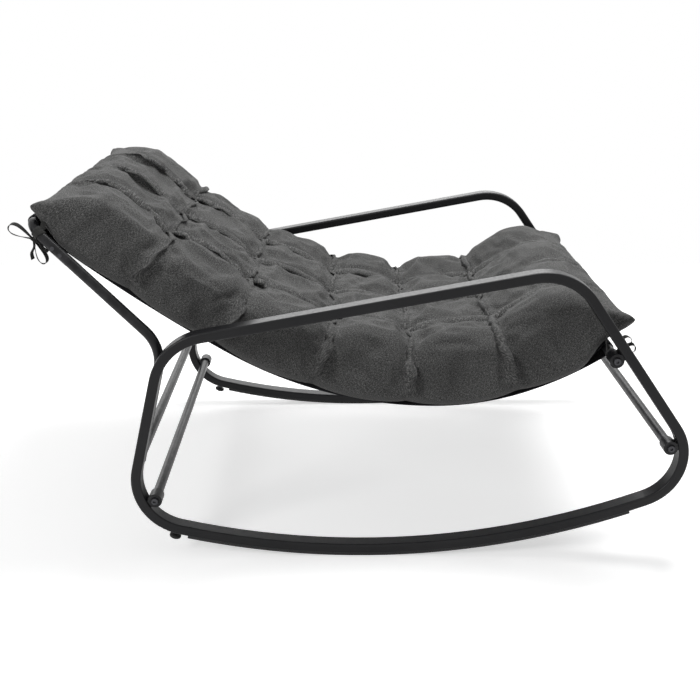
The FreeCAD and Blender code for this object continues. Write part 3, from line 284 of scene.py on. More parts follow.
def cushion_fabric():
    """Melange weave: short streaks of light and dark yarn along both threads."""
    shader = Shader("melange_weave", (0.09, 0.089, 0.086), 0.92, specular=0.2)
    uv = shader.nodes.new("ShaderNodeUVMap")
    uv.uv_map = "cloth"
    cloth = uv.outputs["UV"]
    weft = shader.noise(1, 2, 0.6, shader.stretched((260, 950, 1), cloth))
    warp = shader.noise(1, 2, 0.6, shader.stretched((950, 260, 1), cloth))
    fleck = shader.noise(1, 2, 0.7, shader.stretched((750, 750, 1), cloth))
    yarn = shader.math("MULTIPLY", shader.math("ADD", weft, warp), 0.5)
    yarn = shader.math("ADD", shader.math("MULTIPLY", yarn, 0.6), shader.math("MULTIPLY", fleck, 0.4))
    tone = shader.ramp(
        yarn, (0.39, (0.018, 0.018, 0.019)), (0.5, (0.068, 0.068, 0.067)), (0.62, (0.22, 0.219, 0.214)),
    )
    shade = shader.ramp(shader.noise(9, 3), (0.3, 0.86), (0.7, 1.12))
    shader.color(shader.mixed(1.0, tone, shade, "MULTIPLY"))
    shader.roughness(shader.ramp(yarn, (0.3, 0.95), (0.7, 0.85)))
    shader.bump(yarn, 0.4 * MM, 0.5)
    shader.surface.inputs["Sheen Weight"].default_value = 0.06
    shader.surface.inputs["Sheen Roughness"].default_value = 0.5
    return shader.material


def plain_weave(name, color, count):
    """A tight plain weave of one colour, for the sling and the ribbons."""
    shader = Shader(name, color, 0.85, specular=0.25)
    threads = []
    for direction in ("Y", "X"):
        wave = shader.nodes.new("ShaderNodeTexWave")
        wave.bands_direction = direction
        wave.inputs["Scale"].default_value = count
        wave.inputs["Distortion"].default_value = 0.6
        shader.link(shader.place, wave.inputs["Vector"])
        threads.append(wave.outputs["Fac"])
    weave = shader.math("MULTIPLY", *threads)
    pale = tuple(1.9 * value for value in color)
    cloudy = shader.ramp(shader.noise(40, 4), (0.3, 0.8), (0.7, 1.15))
    shader.color(shader.mixed(1.0, shader.ramp(weave, (0.1, color), (0.8, pale)), cloudy, "MULTIPLY"))
    shader.roughness(shader.ramp(weave, (0.0, 0.9), (1.0, 0.75)))
    shader.bump(weave, 0.2 * MM, 0.6)
    shader.surface.inputs["Sheen Weight"].default_value = 0.15
    return shader.material


paint = powder_coat()
dark_steel = hardware("black_hardware", (0.07, 0.07, 0.075), 0.34)
plain_steel = hardware("zinc_hardware", (0.5, 0.5, 0.51), 0.36)
plastic = moulded("black_plastic_grain", (0.016, 0.016, 0.018), 0.5, 1400)
strip_plastic = moulded("strip_grain", (0.02, 0.02, 0.021), 0.58, 1100)
rubber = moulded("rubber_grain", (0.014, 0.014, 0.014), 0.75, 1600)
cushion_cloth = cushion_fabric()
sling_cloth = plain_weave("sling_weave", (0.010, 0.010, 0.012), 130)
ribbon_cloth = plain_weave("ribbon_weave", (0.022, 0.022, 0.021), 300)

SLOT_MATERIALS = {
    "painted_frame": paint, "dark_steel": dark_steel, "plain_steel": plain_steel,
    "black_plastic": plastic, "strip_plastic": strip_plastic, "rubber_pad": rubber,
    "sling_cloth": sling_cloth, "cushion_cloth": cushion_cloth, "tie_ribbon": ribbon_cloth,
}
node_slots = {part["node"]: part["material_slot"] for part in frame["record"]["subparts"]}
for node_name, node_object in frame["nodes"].items():
    for material_slot in node_object.material_slots:
        material_slot.material = SLOT_MATERIALS[node_slots[node_name]]


# Sling

CASING = 60 * MM
SEAM_RISE = 1.2 * SLING_THICKNESS
SLING_COLUMNS = 40
SLING_STEPS = 120
BAR_STEPS = 14
CASING_STEPS = 8


def round_bar(bar, start, turn):
    """Points round a bar from a starting angle through a turn, both in degrees."""
    shares = [step / BAR_STEPS for step in range(BAR_STEPS + 1)]
    return [bar + heading(start + turn * share) * UNDER_BAR for share in shares]


def casing_seam(distance):
    point, _, normal = sling_place(distance)
    return point + normal * SEAM_RISE


def top_of_bar(bar, seam, turn):
    """The angle at which the cloth from a seam meets the top of its bar."""
    reach = seam - bar
    tilt = math.degrees(math.acos(UNDER_BAR / reach.length))
    return math.degrees(math.atan2(reach.z, reach.x)) + turn * tilt


def sling_profile():
    """The sling seen from the side: one sheet from seam to seam, with a casing round each bar."""
    head_seam = casing_seam(CASING)
    front_seam = casing_seam(sling_length - CASING)
    head_top = top_of_bar(head_bar, head_seam, 1)
    front_top = top_of_bar(seat_bar, front_seam, -1)
    middle = [sling_place(sling_length * step / SLING_STEPS)[0] for step in range(1, SLING_STEPS)]
    head_turn = (270 + SLING_HEAD_SLOPE) - head_top
    front_turn = (front_top - (270 + SLING_FRONT_SLOPE)) % 360
    shares = [step / CASING_STEPS for step in range(CASING_STEPS + 1)]
    onto_head_bar = head_bar + heading(head_top) * UNDER_BAR
    off_seat_bar = seat_bar + heading(front_top) * UNDER_BAR
    flat_head = [head_seam.lerp(onto_head_bar, share) for share in shares[:-1]]
    flat_front = [off_seat_bar.lerp(front_seam, share) for share in shares[1:]]
    head = flat_head + round_bar(head_bar, head_top, head_turn)
    front = round_bar(seat_bar, 270 + SLING_FRONT_SLOPE, front_turn)
    return head + middle + front + flat_front


def sling():
    profile = sling_profile()
    vertices = []
    half = sling_width / 2
    for place in profile:
        for column in range(SLING_COLUMNS + 1):
            vertices.append(place + Vector((0, -half + sling_width * column / SLING_COLUMNS, 0)))
    faces = grid_faces(len(profile), SLING_COLUMNS + 1)
    piece = new_piece("sling_sheet", vertices, faces, sling_cloth)
    solid = piece.modifiers.new("thickness", "SOLIDIFY")
    solid.thickness = SLING_THICKNESS
    solid.offset = 0
    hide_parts("sling")


sling()


# Cushion: a closed form over a flat sling, bent onto the sling's line and then simulated

HEAD_OVERHANG = 8 * MM
ROW_LENGTHS = np.array([192, 163, 185, 164, 192, 227]) * MM
ROW_SEAMS = np.concatenate([[0], np.cumsum(ROW_LENGTHS)]) - HEAD_OVERHANG
COLUMNS = 4
COLUMN_PITCH = 161 * MM
HALF_WIDTH = COLUMNS * COLUMN_PITCH / 2
# Heights are measured over the sling. A bow is how far a row seam sags between two tufts.
TUFT_HEIGHTS = np.array([58, 58, 58, 58, 58, 78, 78]) * MM
TUFT_DIMPLE = 10 * MM
DIMPLE_RADIUS = 15 * MM
SEAM_BOWS = np.array([0, 12, 11, 8, 2, -5, 0]) * MM
ROW_VALLEY = 10 * MM
COLUMN_VALLEY = 84 * MM
BACK_CREST = 102 * MM
SEAT_CREST = 128 * MM
SEAM_HEIGHT = 17 * MM
SIDE_BULGE = 330 * MM
SIDE_TUCK = 312 * MM
UNDERCUT = 33 * MM
SLING_EDGE_REACH = 8 * MM
TOP_SHARE = 0.36
BAR_LIFT = 24 * MM
LIFT_REACH = 72 * MM
SIDE_LIFT_REACH = 50 * MM
SIDE_DROOP = 1 * MM
CUSHION_GAP = 1.0 * MM

# The grid of the cover and its two rounded ends
ACROSS = 110
ALONG = 160
TURNED_COUNT = 14

# The cloth: how much too large it is cut, how far it may move and the half width of its sewn lines
FRAMES = 20
CLOTH_EXCESS = 0.05
FURTHEST_MOVE = 20 * MM
END_REACH = 30 * MM
END_FREEDOM = 0.15
SEWN_HALF = 3.6 * MM

# The creases along the sewn lines, which fade towards the ends and deepen at the sides
ROW_GROOVE = 18 * MM
COLUMN_GROOVE = 20 * MM
GROOVE_WIDTH = 8.5 * MM
GROOVE_FADE = 60 * MM
SIDE_PINCH = 0.8
PINCH_REACH = 30 * MM
BORDER = 2

# The four pointed corners
EAR_REACH = 34 * MM
EAR_OUT = 10 * MM
EAR_ASIDE = 6 * MM
EAR_DROP = 9 * MM


def even(count, shape):
    """Parameters of a curve, evenly spaced along it; the curve is a function of 0 to 1."""
    fine = np.linspace(0, 1, 2001)
    places = np.stack([np.asarray(axis) for axis in shape(fine)], axis=1)
    steps = np.concatenate([[0], np.cumsum(np.linalg.norm(np.diff(places, axis=0), axis=1))])
    return np.interp(np.linspace(0, steps[-1], count), steps, fine)


def bowed(s, y):
    """A distance measured from bowed row seams: between two tufts each seam sags."""
    return s - np.interp(s, ROW_SEAMS, SEAM_BOWS) * column_fullness(y)


def row_share(s):
    """The row at a distance and the share of it that is behind."""
    row = np.clip(np.searchsorted(ROW_SEAMS, s, side="right") - 1, 0, len(ROW_LENGTHS) - 1)
    return row, np.clip((s - ROW_SEAMS[row]) / ROW_LENGTHS[row], 0, 1)


def row_fullness(s):
    """0 on the seams between rows and 1 in the middle of a row."""
    row, share = row_share(s)
    return np.sin(np.pi * share) ** 0.5


def column_fullness(y):
    return np.abs(np.sin(np.pi * (y + HALF_WIDTH) / COLUMN_PITCH)) ** 0.5


def underside(s):
    """Height of the cushion's underside over the sling: it rises over each bar."""
    to_bar = max(0, min(s, sling_length - s))
    return BAR_LIFT * max(0, 1 - to_bar / LIFT_REACH)


def side_underside(s):
    """The same at the cushion's sides, which hang a little past the edge of the sling."""
    to_bar = max(0, min(s, sling_length - s))
    droop = SIDE_DROOP * min(max((to_bar - SIDE_LIFT_REACH / 2) / SIDE_LIFT_REACH, 0), 1)
    return BAR_LIFT * max(0, 1 - to_bar / SIDE_LIFT_REACH) - droop


def cushion_height(s, y):
    """Height of the cushion's top over the sling, before its edges turn down."""
    s = bowed(s, y)
    row, share = row_share(s)
    rows = row_fullness(s)
    columns = column_fullness(y)
    tuft = TUFT_HEIGHTS[row] + (TUFT_HEIGHTS[row + 1] - TUFT_HEIGHTS[row]) * share
    crest = BACK_CREST + (SEAT_CREST - BACK_CREST) * s / ROW_SEAMS[-1]
    valley = tuft + ROW_VALLEY * columns + np.maximum(COLUMN_VALLEY - tuft, ROW_VALLEY) * rows
    height = valley + (crest - valley) * (rows * columns) ** 0.85
    for seam in ROW_SEAMS[1:-1]:
        for column in range(1, COLUMNS):
            away = np.hypot(s - seam, y - (column - COLUMNS / 2) * COLUMN_PITCH)
            height = height - TUFT_DIMPLE * np.exp(-((away / DIMPLE_RADIUS) ** 2))
    return height


def cushion_contour(s, rise):
    """The upper contour of the cushion at a distance: y and height, seam to seam.

    rise is 1 over the cushion and falls to 0 at its two ends, where top and bottom meet."""
    edge_column = HALF_WIDTH - COLUMN_PITCH / 2
    widest = SIDE_TUCK + (SIDE_BULGE - SIDE_TUCK) * row_fullness(s)
    widest += (HALF_WIDTH - widest) * (1 - rise) ** 2
    seam = SEAM_HEIGHT + side_underside(s)

    def shape(t):
        inner = np.abs(t - 0.5) < TOP_SHARE
        side_share = np.clip((np.abs(t - 0.5) - TOP_SHARE) / (0.5 - TOP_SHARE), 0, 1)
        side_y = edge_column + (widest - edge_column) * np.sin(side_share * np.pi / 2) ** 0.9
        y = np.where(inner, (t - 0.5) / TOP_SHARE * edge_column, np.sign(t - 0.5) * side_y)
        top = cushion_height(s, np.clip(y, -edge_column, edge_column))
        drop = np.cos(side_share * np.pi / 2) ** 0.8
        z = np.where(inner, top, seam + (top - seam) * drop)
        return y, seam + (z - seam) * rise

    return shape(even(ACROSS + 1, shape))


def cushion_stations():
    """Distances along the cushion, closer at its two ends, with the rise of each."""
    angles = np.linspace(0, np.pi / 2, TURNED_COUNT + 1)[:-1]
    rises = np.sin(angles) ** 0.75
    head_half, front_half = ROW_LENGTHS[0] / 2, ROW_LENGTHS[-1] / 2
    head = ROW_SEAMS[0] + head_half * (1 - np.cos(angles))
    front = ROW_SEAMS[-1] - front_half * (1 - np.cos(angles))
    middle = np.linspace(
        ROW_SEAMS[0] + head_half, ROW_SEAMS[-1] - front_half, ALONG - 2 * TURNED_COUNT + 1,
    )
    stations = np.concatenate([head, middle, front[::-1]])
    return stations, np.concatenate([rises, np.ones(len(middle)), rises[::-1]])


def flat_cushion():
    """Points, faces and cloth coordinates of the closed cushion over a flat sling.

    The top is a grid whose border is the seam; the underside shares that border."""
    stations, rises = cushion_stations()
    top, bottom, spread = [], [], []
    for s, rise in zip(stations, rises):
        y, z = cushion_contour(s, rise)
        top.append(np.stack([np.full_like(y, s), y, z], axis=1))
        steps = np.concatenate([[0], np.cumsum(np.hypot(np.diff(y), np.diff(z)))])
        spread.append(steps - steps[-1] / 2)
        low, side_low = underside(s), side_underside(s)
        under_y = np.linspace(-1, 1, ACROSS + 1) * y[-1]
        edge = np.clip((np.abs(under_y) - (y[-1] - UNDERCUT)) / UNDERCUT, 0, 1)
        seam = SEAM_HEIGHT + side_low
        past = np.clip((np.abs(under_y) - sling_width / 2) / SLING_EDGE_REACH, 0, 1)
        level = low + (side_low - low) * past
        under_z = level + (seam - level) * np.maximum(edge**2.4, (1 - rise) ** 3)
        bottom.append(np.stack([np.full_like(under_y, s), under_y, under_z], axis=1))
    top, bottom, spread = np.array(top), np.array(bottom), np.array(spread)
    rows, columns = top.shape[:2]
    lower = np.arange(rows * columns).reshape(rows, columns)
    inner_count = (rows - 2) * (columns - 2)
    lower[1:-1, 1:-1] = rows * columns + np.arange(inner_count).reshape(rows - 2, columns - 2)
    lower = lower.reshape(-1)
    faces = [tuple(reversed(face)) for face in grid_faces(rows, columns)]
    under = [tuple(int(lower[number]) for number in reversed(face)) for face in faces]
    points = np.concatenate([top.reshape(-1, 3), bottom[1:-1, 1:-1].reshape(-1, 3)])
    upper_cloth = np.stack([spread, top[:, :, 0]], axis=2).reshape(-1, 2)
    cloth = np.concatenate([upper_cloth, bottom[1:-1, 1:-1, 1::-1].reshape(-1, 2)])
    return points, faces + under, cloth, rows, columns


def with_ears(points):
    """Draws the four corners of the cushion out to points, which hang down a little."""
    points = points.copy()
    beside = np.exp(-(((np.abs(points[:, 1]) - HALF_WIDTH) / EAR_REACH) ** 2))
    for end, outwards in ((ROW_SEAMS[0], -1), (ROW_SEAMS[-1], 1)):
        share = beside * np.exp(-(((points[:, 0] - end) / EAR_REACH) ** 2))
        share[share < 0.01] = 0
        points += share[:, None] * np.stack([
            np.full_like(share, outwards * EAR_OUT),
            np.sign(points[:, 1]) * EAR_ASIDE,
            np.full_like(share, -EAR_DROP),
        ], axis=1)
    return points


def bend_onto_sling(places):
    """Takes points over the flat sling to their place on the chair."""
    bent = np.empty_like(places)
    distances = {}
    for number, (s, y, z) in enumerate(places):
        if s not in distances:
            point, _, normal = sling_place(s)
            distances[s] = (point, normal)
        point, normal = distances[s]
        point = point + normal * (SLING_THICKNESS / 2 + CUSHION_GAP + z)
        bent[number] = (point.x, y, point.z)
    return bent


def pinned_points(flat_points, top_count, rows, columns):
    """The underside, the seam round the edge and the sewn lines between rows and columns."""
    grid = np.arange(top_count).reshape(rows, columns)
    border = set(grid[0]) | set(grid[-1]) | set(grid[:, 0]) | set(grid[:, -1])
    pinned = border | set(range(top_count, len(flat_points)))
    s, y = flat_points[:top_count, 0], flat_points[:top_count, 1]
    along = bowed(s, y)
    for seam in ROW_SEAMS[1:-1]:
        pinned |= set(np.nonzero(np.abs(along - seam) < SEWN_HALF)[0])
    for column in range(1, COLUMNS):
        line = (column - COLUMNS / 2) * COLUMN_PITCH
        pinned |= set(np.nonzero(np.abs(y - line) < SEWN_HALF)[0])
    return [int(number) for number in pinned]


def simulate(piece, pinned):
    """Lets the cover, cut a little too large, swell and crease between its pinned points."""
    group = piece.vertex_groups.new(name="pinned")
    group.add(pinned, 1.0, "REPLACE")
    cloth = piece.modifiers.new("cloth", "CLOTH")
    settings = cloth.settings
    settings.quality = 6
    settings.mass = 0.05
    settings.tension_stiffness = 20
    settings.compression_stiffness = 20
    settings.shear_stiffness = 6
    settings.bending_stiffness = 0.05
    settings.air_damping = 2
    settings.shrink_min = -CLOTH_EXCESS
    settings.shrink_max = -CLOTH_EXCESS
    settings.use_pressure = True
    settings.uniform_pressure_force = 4
    settings.vertex_group_mass = "pinned"
    settings.effector_weights.gravity = 0
    cloth.collision_settings.use_collision = False
    scene = bpy.context.scene
    for number in range(1, FRAMES + 1):
        scene.frame_set(number)
    evaluated = piece.evaluated_get(bpy.context.evaluated_depsgraph_get())
    moved = np.empty(len(piece.data.vertices) * 3)
    evaluated.data.vertices.foreach_get("co", moved)
    piece.modifiers.remove(cloth)
    scene.frame_set(1)
    return moved.reshape(-1, 3)


def capped(start, moved, furthest):
    """The moved points, none further from its start than the cap."""
    step = moved - start
    length = np.linalg.norm(step, axis=1)
    return start + step * (np.tanh(length / furthest) * furthest / np.maximum(length, 1e-9))[:, None]


def set_places(mesh, places):
    mesh.vertices.foreach_set("co", np.asarray(places, dtype=float).reshape(-1))
    mesh.update()


def get_places(mesh, what="co"):
    values = np.empty(len(mesh.vertices) * 3)
    mesh.vertices.foreach_get(what, values)
    return values.reshape(-1, 3)


def subdivided(piece):
    """The piece's mesh after one smooth subdivision."""
    modifier = piece.modifiers.new("smooth", "SUBSURF")
    modifier.levels = 1
    evaluated = piece.evaluated_get(bpy.context.evaluated_depsgraph_get())
    mesh = bpy.data.meshes.new_from_object(evaluated)
    piece.modifiers.remove(modifier)
    return mesh


def sewn_creases(mesh):
    """Draws the cover in along the seams between rows and columns."""
    place = np.empty(len(mesh.vertices) * 3)
    mesh.attributes["place"].data.foreach_get("vector", place)
    s, y, top = place.reshape(-1, 3).T
    along = bowed(s, y)
    row_depth = sum(np.exp(-(((along - seam) / GROOVE_WIDTH) ** 2)) for seam in ROW_SEAMS[1:-1])
    lines = [(column - COLUMNS / 2) * COLUMN_PITCH for column in range(1, COLUMNS)]
    column_depth = sum(np.exp(-(((y - line) / GROOVE_WIDTH) ** 2)) for line in lines)
    to_end = np.minimum(s - ROW_SEAMS[0], ROW_SEAMS[-1] - s)
    top = np.clip(top, 0, 1) * np.clip(to_end / GROOVE_FADE, 0, 1)
    pinch = 1 + SIDE_PINCH * np.clip((np.abs(y) - HALF_WIDTH) / PINCH_REACH + 1, 0, 1)
    depth = np.maximum(ROW_GROOVE * pinch * row_depth, COLUMN_GROOVE * column_depth) * top
    normals = get_places(mesh, "normal")
    set_places(mesh, get_places(mesh) - normals * depth[:, None])


def cushion():
    """The cover: its grid, the simulation, the cloth coordinates and the drawn creases."""
    flat_points, faces, cloth_places, rows, columns = flat_cushion()
    top_count = rows * columns
    start = bend_onto_sling(with_ears(flat_points))
    piece = new_piece("cushion_cover", start, faces, cushion_cloth)
    moved = simulate(piece, pinned_points(flat_points, top_count, rows, columns))
    to_end = np.minimum(flat_points[:, 0] - ROW_SEAMS[0], ROW_SEAMS[-1] - flat_points[:, 0])
    freedom = END_FREEDOM + (1 - END_FREEDOM) * np.clip(to_end / END_REACH, 0, 1)
    furthest = FURTHEST_MOVE * freedom
    set_places(piece.data, capped(start, moved, furthest))
    mesh = piece.data
    layer = mesh.uv_layers.new(name="cloth")
    for loop in mesh.loops:
        layer.data[loop.index].uv = cloth_places[loop.vertex_index]
    place = mesh.attributes.new("place", "FLOAT_VECTOR", "POINT")
    marked = flat_points.copy()
    marked[:, 2] = 0
    inner = np.arange(top_count).reshape(rows, columns)[BORDER:-BORDER, BORDER:-BORDER]
    marked[inner.reshape(-1), 2] = 1
    place.data.foreach_set("vector", marked.reshape(-1))
    piece.vertex_groups.clear()
    piece.data = subdivided(piece)
    bpy.data.meshes.remove(mesh)
    sewn_creases(piece.data)
    piece.data.shade_smooth()
    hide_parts("cushion")


cushion()


# Ties

RIBBON_WIDTH = 8 * MM
RIBBON_THICKNESS = 1.0 * MM
RIBBON_SECTION = ((-1, -0.5), (-0.9, -1), (0.9, -1), (1, -0.5), (1, 0.5), (0.9, 1), (-0.9, 1), (-1, 0.5))
RING_GAP = 0.3 * MM
RING_SHIFT = 0.3
RING_STEPS = 36
LOOP_STEPS = 28
KNOT_RADIUS = 4.5 * MM
KNOT_ROWS = 15
KNOT_COLUMNS = 24
HOOP_RADIUS = 30 * MM
BACK_SLOPE = 45.5
TIE_BEND_ANGLE = 68
HEAD_SEWN = {"along": 4 * MM, "above": 40 * MM, "aside": 306 * MM}
FRONT_SEWN = {"past_bar": 10 * MM, "above": 36 * MM, "aside": 314 * MM}
ALONG_Y = Vector((0, 1, 0))


def ribbon(path, widths, closed=False):
    """Vertices and faces of a flat ribbon along a path; widths are its directions across."""
    vertices = []
    count = len(path)
    for number, place in enumerate(path):
        before = path[(number - 1) % count] if closed else path[max(number - 1, 0)]
        after = path[(number + 1) % count] if closed else path[min(number + 1, count - 1)]
        way = (after - before).normalized()
        wide = (widths[number] - way * widths[number].dot(way)).normalized()
        thick = way.cross(wide)
        for across, up in RIBBON_SECTION:
            vertices.append(place + wide * across * RIBBON_WIDTH / 2 + thick * up * RIBBON_THICKNESS / 2)
    size = len(RIBBON_SECTION)
    faces = grid_faces(count, size, close_rows=closed, close_columns=True)
    if not closed:
        faces.append(tuple(range(size)))
        faces.append(tuple(reversed(range((count - 1) * size, count * size))))
    return vertices, faces


def smooth_path(corners, steps=8):
    """A soft curve through the corners."""
    path = []
    padded = [corners[0]] + list(corners) + [corners[-1]]
    for first, second, third, fourth in zip(padded, padded[1:], padded[2:], padded[3:]):
        for step in range(steps):
            t = step / steps
            path.append(0.5 * (
                2 * second + (third - first) * t + (2 * first - 5 * second + 4 * third - fourth) * t**2
                + (3 * second - first - 3 * third + fourth) * t**3
            ))
    return path + [corners[-1]]


def loop_of_bow(knot, way, length, height, sway):
    """A petal of ribbon that leaves the knot, turns over and comes back."""
    side = upward(way)
    path, widths = [], []
    for step in range(LOOP_STEPS + 1):
        share = step / LOOP_STEPS
        reach = math.sin(math.pi * share) ** 0.85
        swell = math.sin(2 * math.pi * share)
        path.append(knot + way * length * reach + side * height * swell / 2 + ALONG_Y * sway * reach)
        widths.append(ALONG_Y + side * 0.5 * swell + way * 0.3 * (1 - reach))
    return path, widths


def tail_of_bow(knot, way, length, sway):
    side = upward(way)
    corners = [
        knot, knot + way * length * 0.35 + side * 2 * MM,
        knot + way * length * 0.7 - side * 2 * MM + ALONG_Y * sway / 2, knot + way * length + ALONG_Y * sway,
    ]
    path = smooth_path(corners)
    return path, [ALONG_Y + side * 0.6 * step / len(path) for step in range(len(path))]


def ring_round(centre, axis, radius):
    """One turn of ribbon round a tube."""
    first = axis.cross(heading(90)).normalized()
    second = axis.cross(first).normalized()
    turns = [2 * math.pi * step / RING_STEPS for step in range(RING_STEPS)]
    path = [centre + (first * math.cos(turn) + second * math.sin(turn)) * radius for turn in turns]
    return path, [axis] * len(path)


def knot_lump(centre):
    """A tight knot: a squashed ball with the folds of the ribbon in it."""
    vertices = []
    for row in range(KNOT_ROWS):
        polar = math.pi * (row + 0.5) / KNOT_ROWS
        for column in range(KNOT_COLUMNS):
            turn = 2 * math.pi * column / KNOT_COLUMNS
            fold = 1 + 0.13 * math.cos(3 * turn + 2 * polar) + 0.08 * math.cos(5 * polar)
            x = math.sin(polar) * math.cos(turn)
            z = math.sin(polar) * math.sin(turn)
            vertices.append(centre + fold * KNOT_RADIUS * Vector((x, 0.8 * math.cos(polar), 0.9 * z)))
    faces = grid_faces(KNOT_ROWS, KNOT_COLUMNS, close_columns=True)
    faces.append(tuple(range(KNOT_COLUMNS)))
    faces.append(tuple(reversed(range((KNOT_ROWS - 1) * KNOT_COLUMNS, KNOT_ROWS * KNOT_COLUMNS))))
    return vertices, faces


def bow(node, tube_point, tube_way, knot_way, loops, tails, sewn_to):
    """A ribbon tied round a tube: turns round it, knot, two loops, two tails and its sewn end."""
    ring_radius = TUBE_RADIUS + RIBBON_THICKNESS / 2 + RING_GAP
    knot = tube_point + knot_way * (ring_radius + KNOT_RADIUS * 0.8)
    parts = [knot_lump(knot)]
    for shift in (-RING_SHIFT, RING_SHIFT):
        centre = tube_point + tube_way * shift * RIBBON_WIDTH
        path, widths = ring_round(centre, (tube_way + knot_way * shift * 0.4).normalized(), ring_radius)
        parts.append(ribbon(path, widths, closed=True))
    for angle, length, height, sway in loops:
        parts.append(ribbon(*loop_of_bow(knot, heading(angle), length, height, sway)))
    for angle, length, sway in tails:
        parts.append(ribbon(*tail_of_bow(knot, heading(angle), length, sway)))
    side = tube_point - knot_way * ring_radius
    parts.append(ribbon(*sewn_end(side, sewn_to, tube_way)))
    vertices, faces = [], []
    for part_vertices, part_faces in parts:
        faces += [tuple(number + len(vertices) for number in face) for face in part_faces]
        vertices += part_vertices
    piece = new_piece(node + "_ribbon", vertices, faces, ribbon_cloth)
    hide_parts(node)


def sewn_end(start, finish, across):
    """The ribbon's way from the tube to the cushion it is sewn to."""
    middle = start.lerp(finish, 0.5) + heading(90) * 2 * MM
    path = smooth_path([start, middle, finish])
    return path, [across] * len(path)


back_way = heading(180 - BACK_SLOPE)
leg_low, leg_high = [Vector(corner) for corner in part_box("back_leg_left")]
leg_y = (leg_low.y + leg_high.y) / 2
# Each loop of a bow is an angle, a length, a height and a sway; each tail an angle, a length and a sway
for side_name, side_sign in SIDES.items():
    out = ALONG_Y * side_sign
    turn = math.radians(TIE_BEND_ANGLE)
    bend_centre = head_bar - back_way * HOOP_RADIUS + out * (leg_y - HOOP_RADIUS)
    tube_point = bend_centre + (out * math.sin(turn) + back_way * math.cos(turn)) * HOOP_RADIUS
    tube_way = (out * math.cos(turn) - back_way * math.sin(turn)).normalized()
    corner_point, _, normal = sling_place(HEAD_SEWN["along"])
    bow(
        "head_tie_" + side_name, tube_point, tube_way, heading(270 - BACK_SLOPE),
        ((149, 42 * MM, 17 * MM, 4 * MM * side_sign), (289, 43 * MM, 15 * MM, -3 * MM * side_sign)),
        ((320, 30 * MM, 3 * MM * side_sign), (262, 34 * MM, -4 * MM * side_sign)),
        corner_point + normal * HEAD_SEWN["above"] + out * HEAD_SEWN["aside"],
    )
    front_low, front_high = [Vector(corner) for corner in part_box("front_tie_" + side_name)]
    front_y = (front_low.y + front_high.y) / 2
    corner_point, _, normal = sling_place(sling_length + FRONT_SEWN["past_bar"])
    bow(
        "front_tie_" + side_name, seat_bar + ALONG_Y * front_y, ALONG_Y, heading(35),
        ((56, 28 * MM, 16 * MM, 0), (12, 27 * MM, 15 * MM, 0)),
        ((335, 24 * MM, -2 * MM * side_sign), (95, 20 * MM, -2 * MM * side_sign)),
        corner_point + normal * FRONT_SEWN["above"] + out * FRONT_SEWN["aside"],
    )


# Floor, light and camera

WORLD_LIGHT = 0.28
FLOOR_GLOW = 0.5
FLOOR_HALF = 1.7
CAMERA_PLACE = (-0.0258, -2.0110, 0.9175)
CAMERA_TILT = 71.60
CAMERA_TURN = -0.54
CAMERA_LENS = 55.08
CAMERA_SENSOR = 36


def seen_directly(nodes, links):
    """1 for rays that show a surface in the picture, in a reflection or through glass."""
    path = nodes.new("ShaderNodeLightPath")
    total = path.outputs["Is Camera Ray"]
    for ray in ("Is Glossy Ray", "Is Transmission Ray"):
        either = nodes.new("ShaderNodeMath")
        either.operation = "MAXIMUM"
        links.new(total, either.inputs[0])
        links.new(path.outputs[ray], either.inputs[1])
        total = either.outputs[0]
    return total


def strength_by_ray(nodes, links, hidden, shown):
    """A strength that differs between rays that light the object and rays that show the picture."""
    strength = nodes.new("ShaderNodeMapRange")
    strength.inputs["To Min"].default_value = hidden
    strength.inputs["To Max"].default_value = shown
    links.new(seen_directly(nodes, links), strength.inputs["Value"])
    return strength.outputs["Result"]


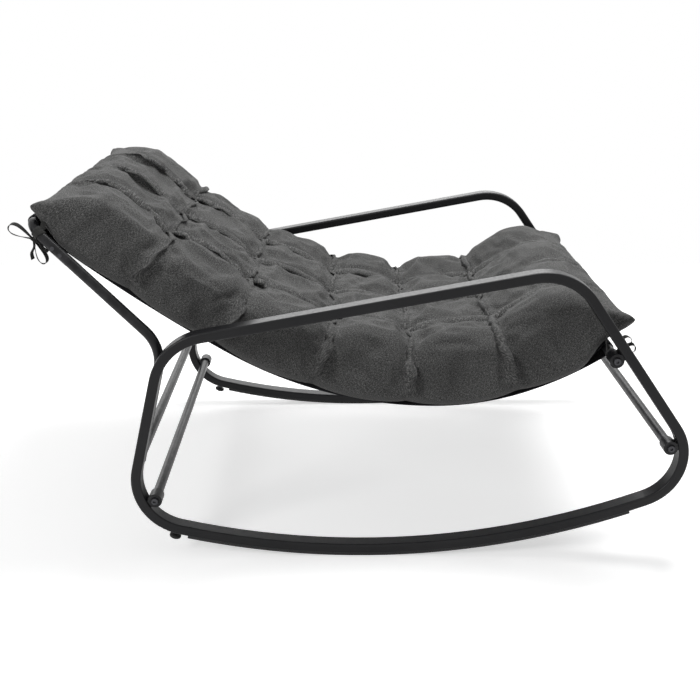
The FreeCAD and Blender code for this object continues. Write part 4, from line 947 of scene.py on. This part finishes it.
def studio():
    """A pale floor that reads as white but keeps the shadow, and a white surround."""
    mesh = bpy.data.meshes.new("floor")
    corners = [(FLOOR_HALF * x, FLOOR_HALF * y, 0) for x, y in ((-1, -1), (1, -1), (1, 1), (-1, 1))]
    mesh.from_pydata(corners, [], [(0, 1, 2, 3)])
    floor = bpy.data.objects.new("floor", mesh)
    bpy.context.scene.collection.objects.link(floor)
    material = bpy.data.materials.new("pale_floor")
    material.use_nodes = True
    nodes, links = material.node_tree.nodes, material.node_tree.links
    surface = nodes["Principled BSDF"]
    surface.inputs["Base Color"].default_value = (0.9, 0.9, 0.9, 1)
    surface.inputs["Roughness"].default_value = 0.9
    surface.inputs["Specular IOR Level"].default_value = 0.1
    surface.inputs["Emission Color"].default_value = (1, 1, 1, 1)
    links.new(strength_by_ray(nodes, links, 0.0, FLOOR_GLOW), surface.inputs["Emission Strength"])
    mesh.materials.append(material)
    world = bpy.data.worlds.new("studio")
    bpy.context.scene.world = world
    world.use_nodes = True
    nodes, links = world.node_tree.nodes, world.node_tree.links
    background = nodes["Background"]
    background.inputs["Color"].default_value = (1, 1, 1, 1)
    links.new(strength_by_ray(nodes, links, WORLD_LIGHT, 1.0), background.inputs["Strength"])


def softbox(name, place, target, width, height, watts):
    """A soft rectangular light that points from its place to its target."""
    light = bpy.data.lights.new(name, "AREA")
    light.shape = "RECTANGLE"
    light.size = width
    light.size_y = height
    light.energy = watts
    lamp = bpy.data.objects.new(name, light)
    bpy.context.scene.collection.objects.link(lamp)
    lamp.location = place
    lamp.rotation_euler = (Vector(target) - Vector(place)).to_track_quat("-Z", "Y").to_euler()


def camera():
    """The camera of the photograph."""
    data = bpy.data.cameras.new("camera")
    data.sensor_width = CAMERA_SENSOR
    data.lens = CAMERA_LENS
    viewer = bpy.data.objects.new("camera", data)
    bpy.context.scene.collection.objects.link(viewer)
    viewer.location = CAMERA_PLACE
    viewer.rotation_euler = (math.radians(CAMERA_TILT), 0, math.radians(CAMERA_TURN))
    bpy.context.scene.camera = viewer


studio()
softbox("overhead", (0.5, 0.4, 2.3), (0, 0, 0.3), 0.9, 0.9, 36)
softbox("back_light", (-0.4, 2.6, 1.5), (0, 0, 0.4), 3.0, 1.2, 26)
softbox("front_fill", (-1.9, -1.9, 1.7), (0, 0, 0.3), 0.8, 0.8, 22)
camera()

view = bpy.context.scene.view_settings
view.view_transform = "Standard"
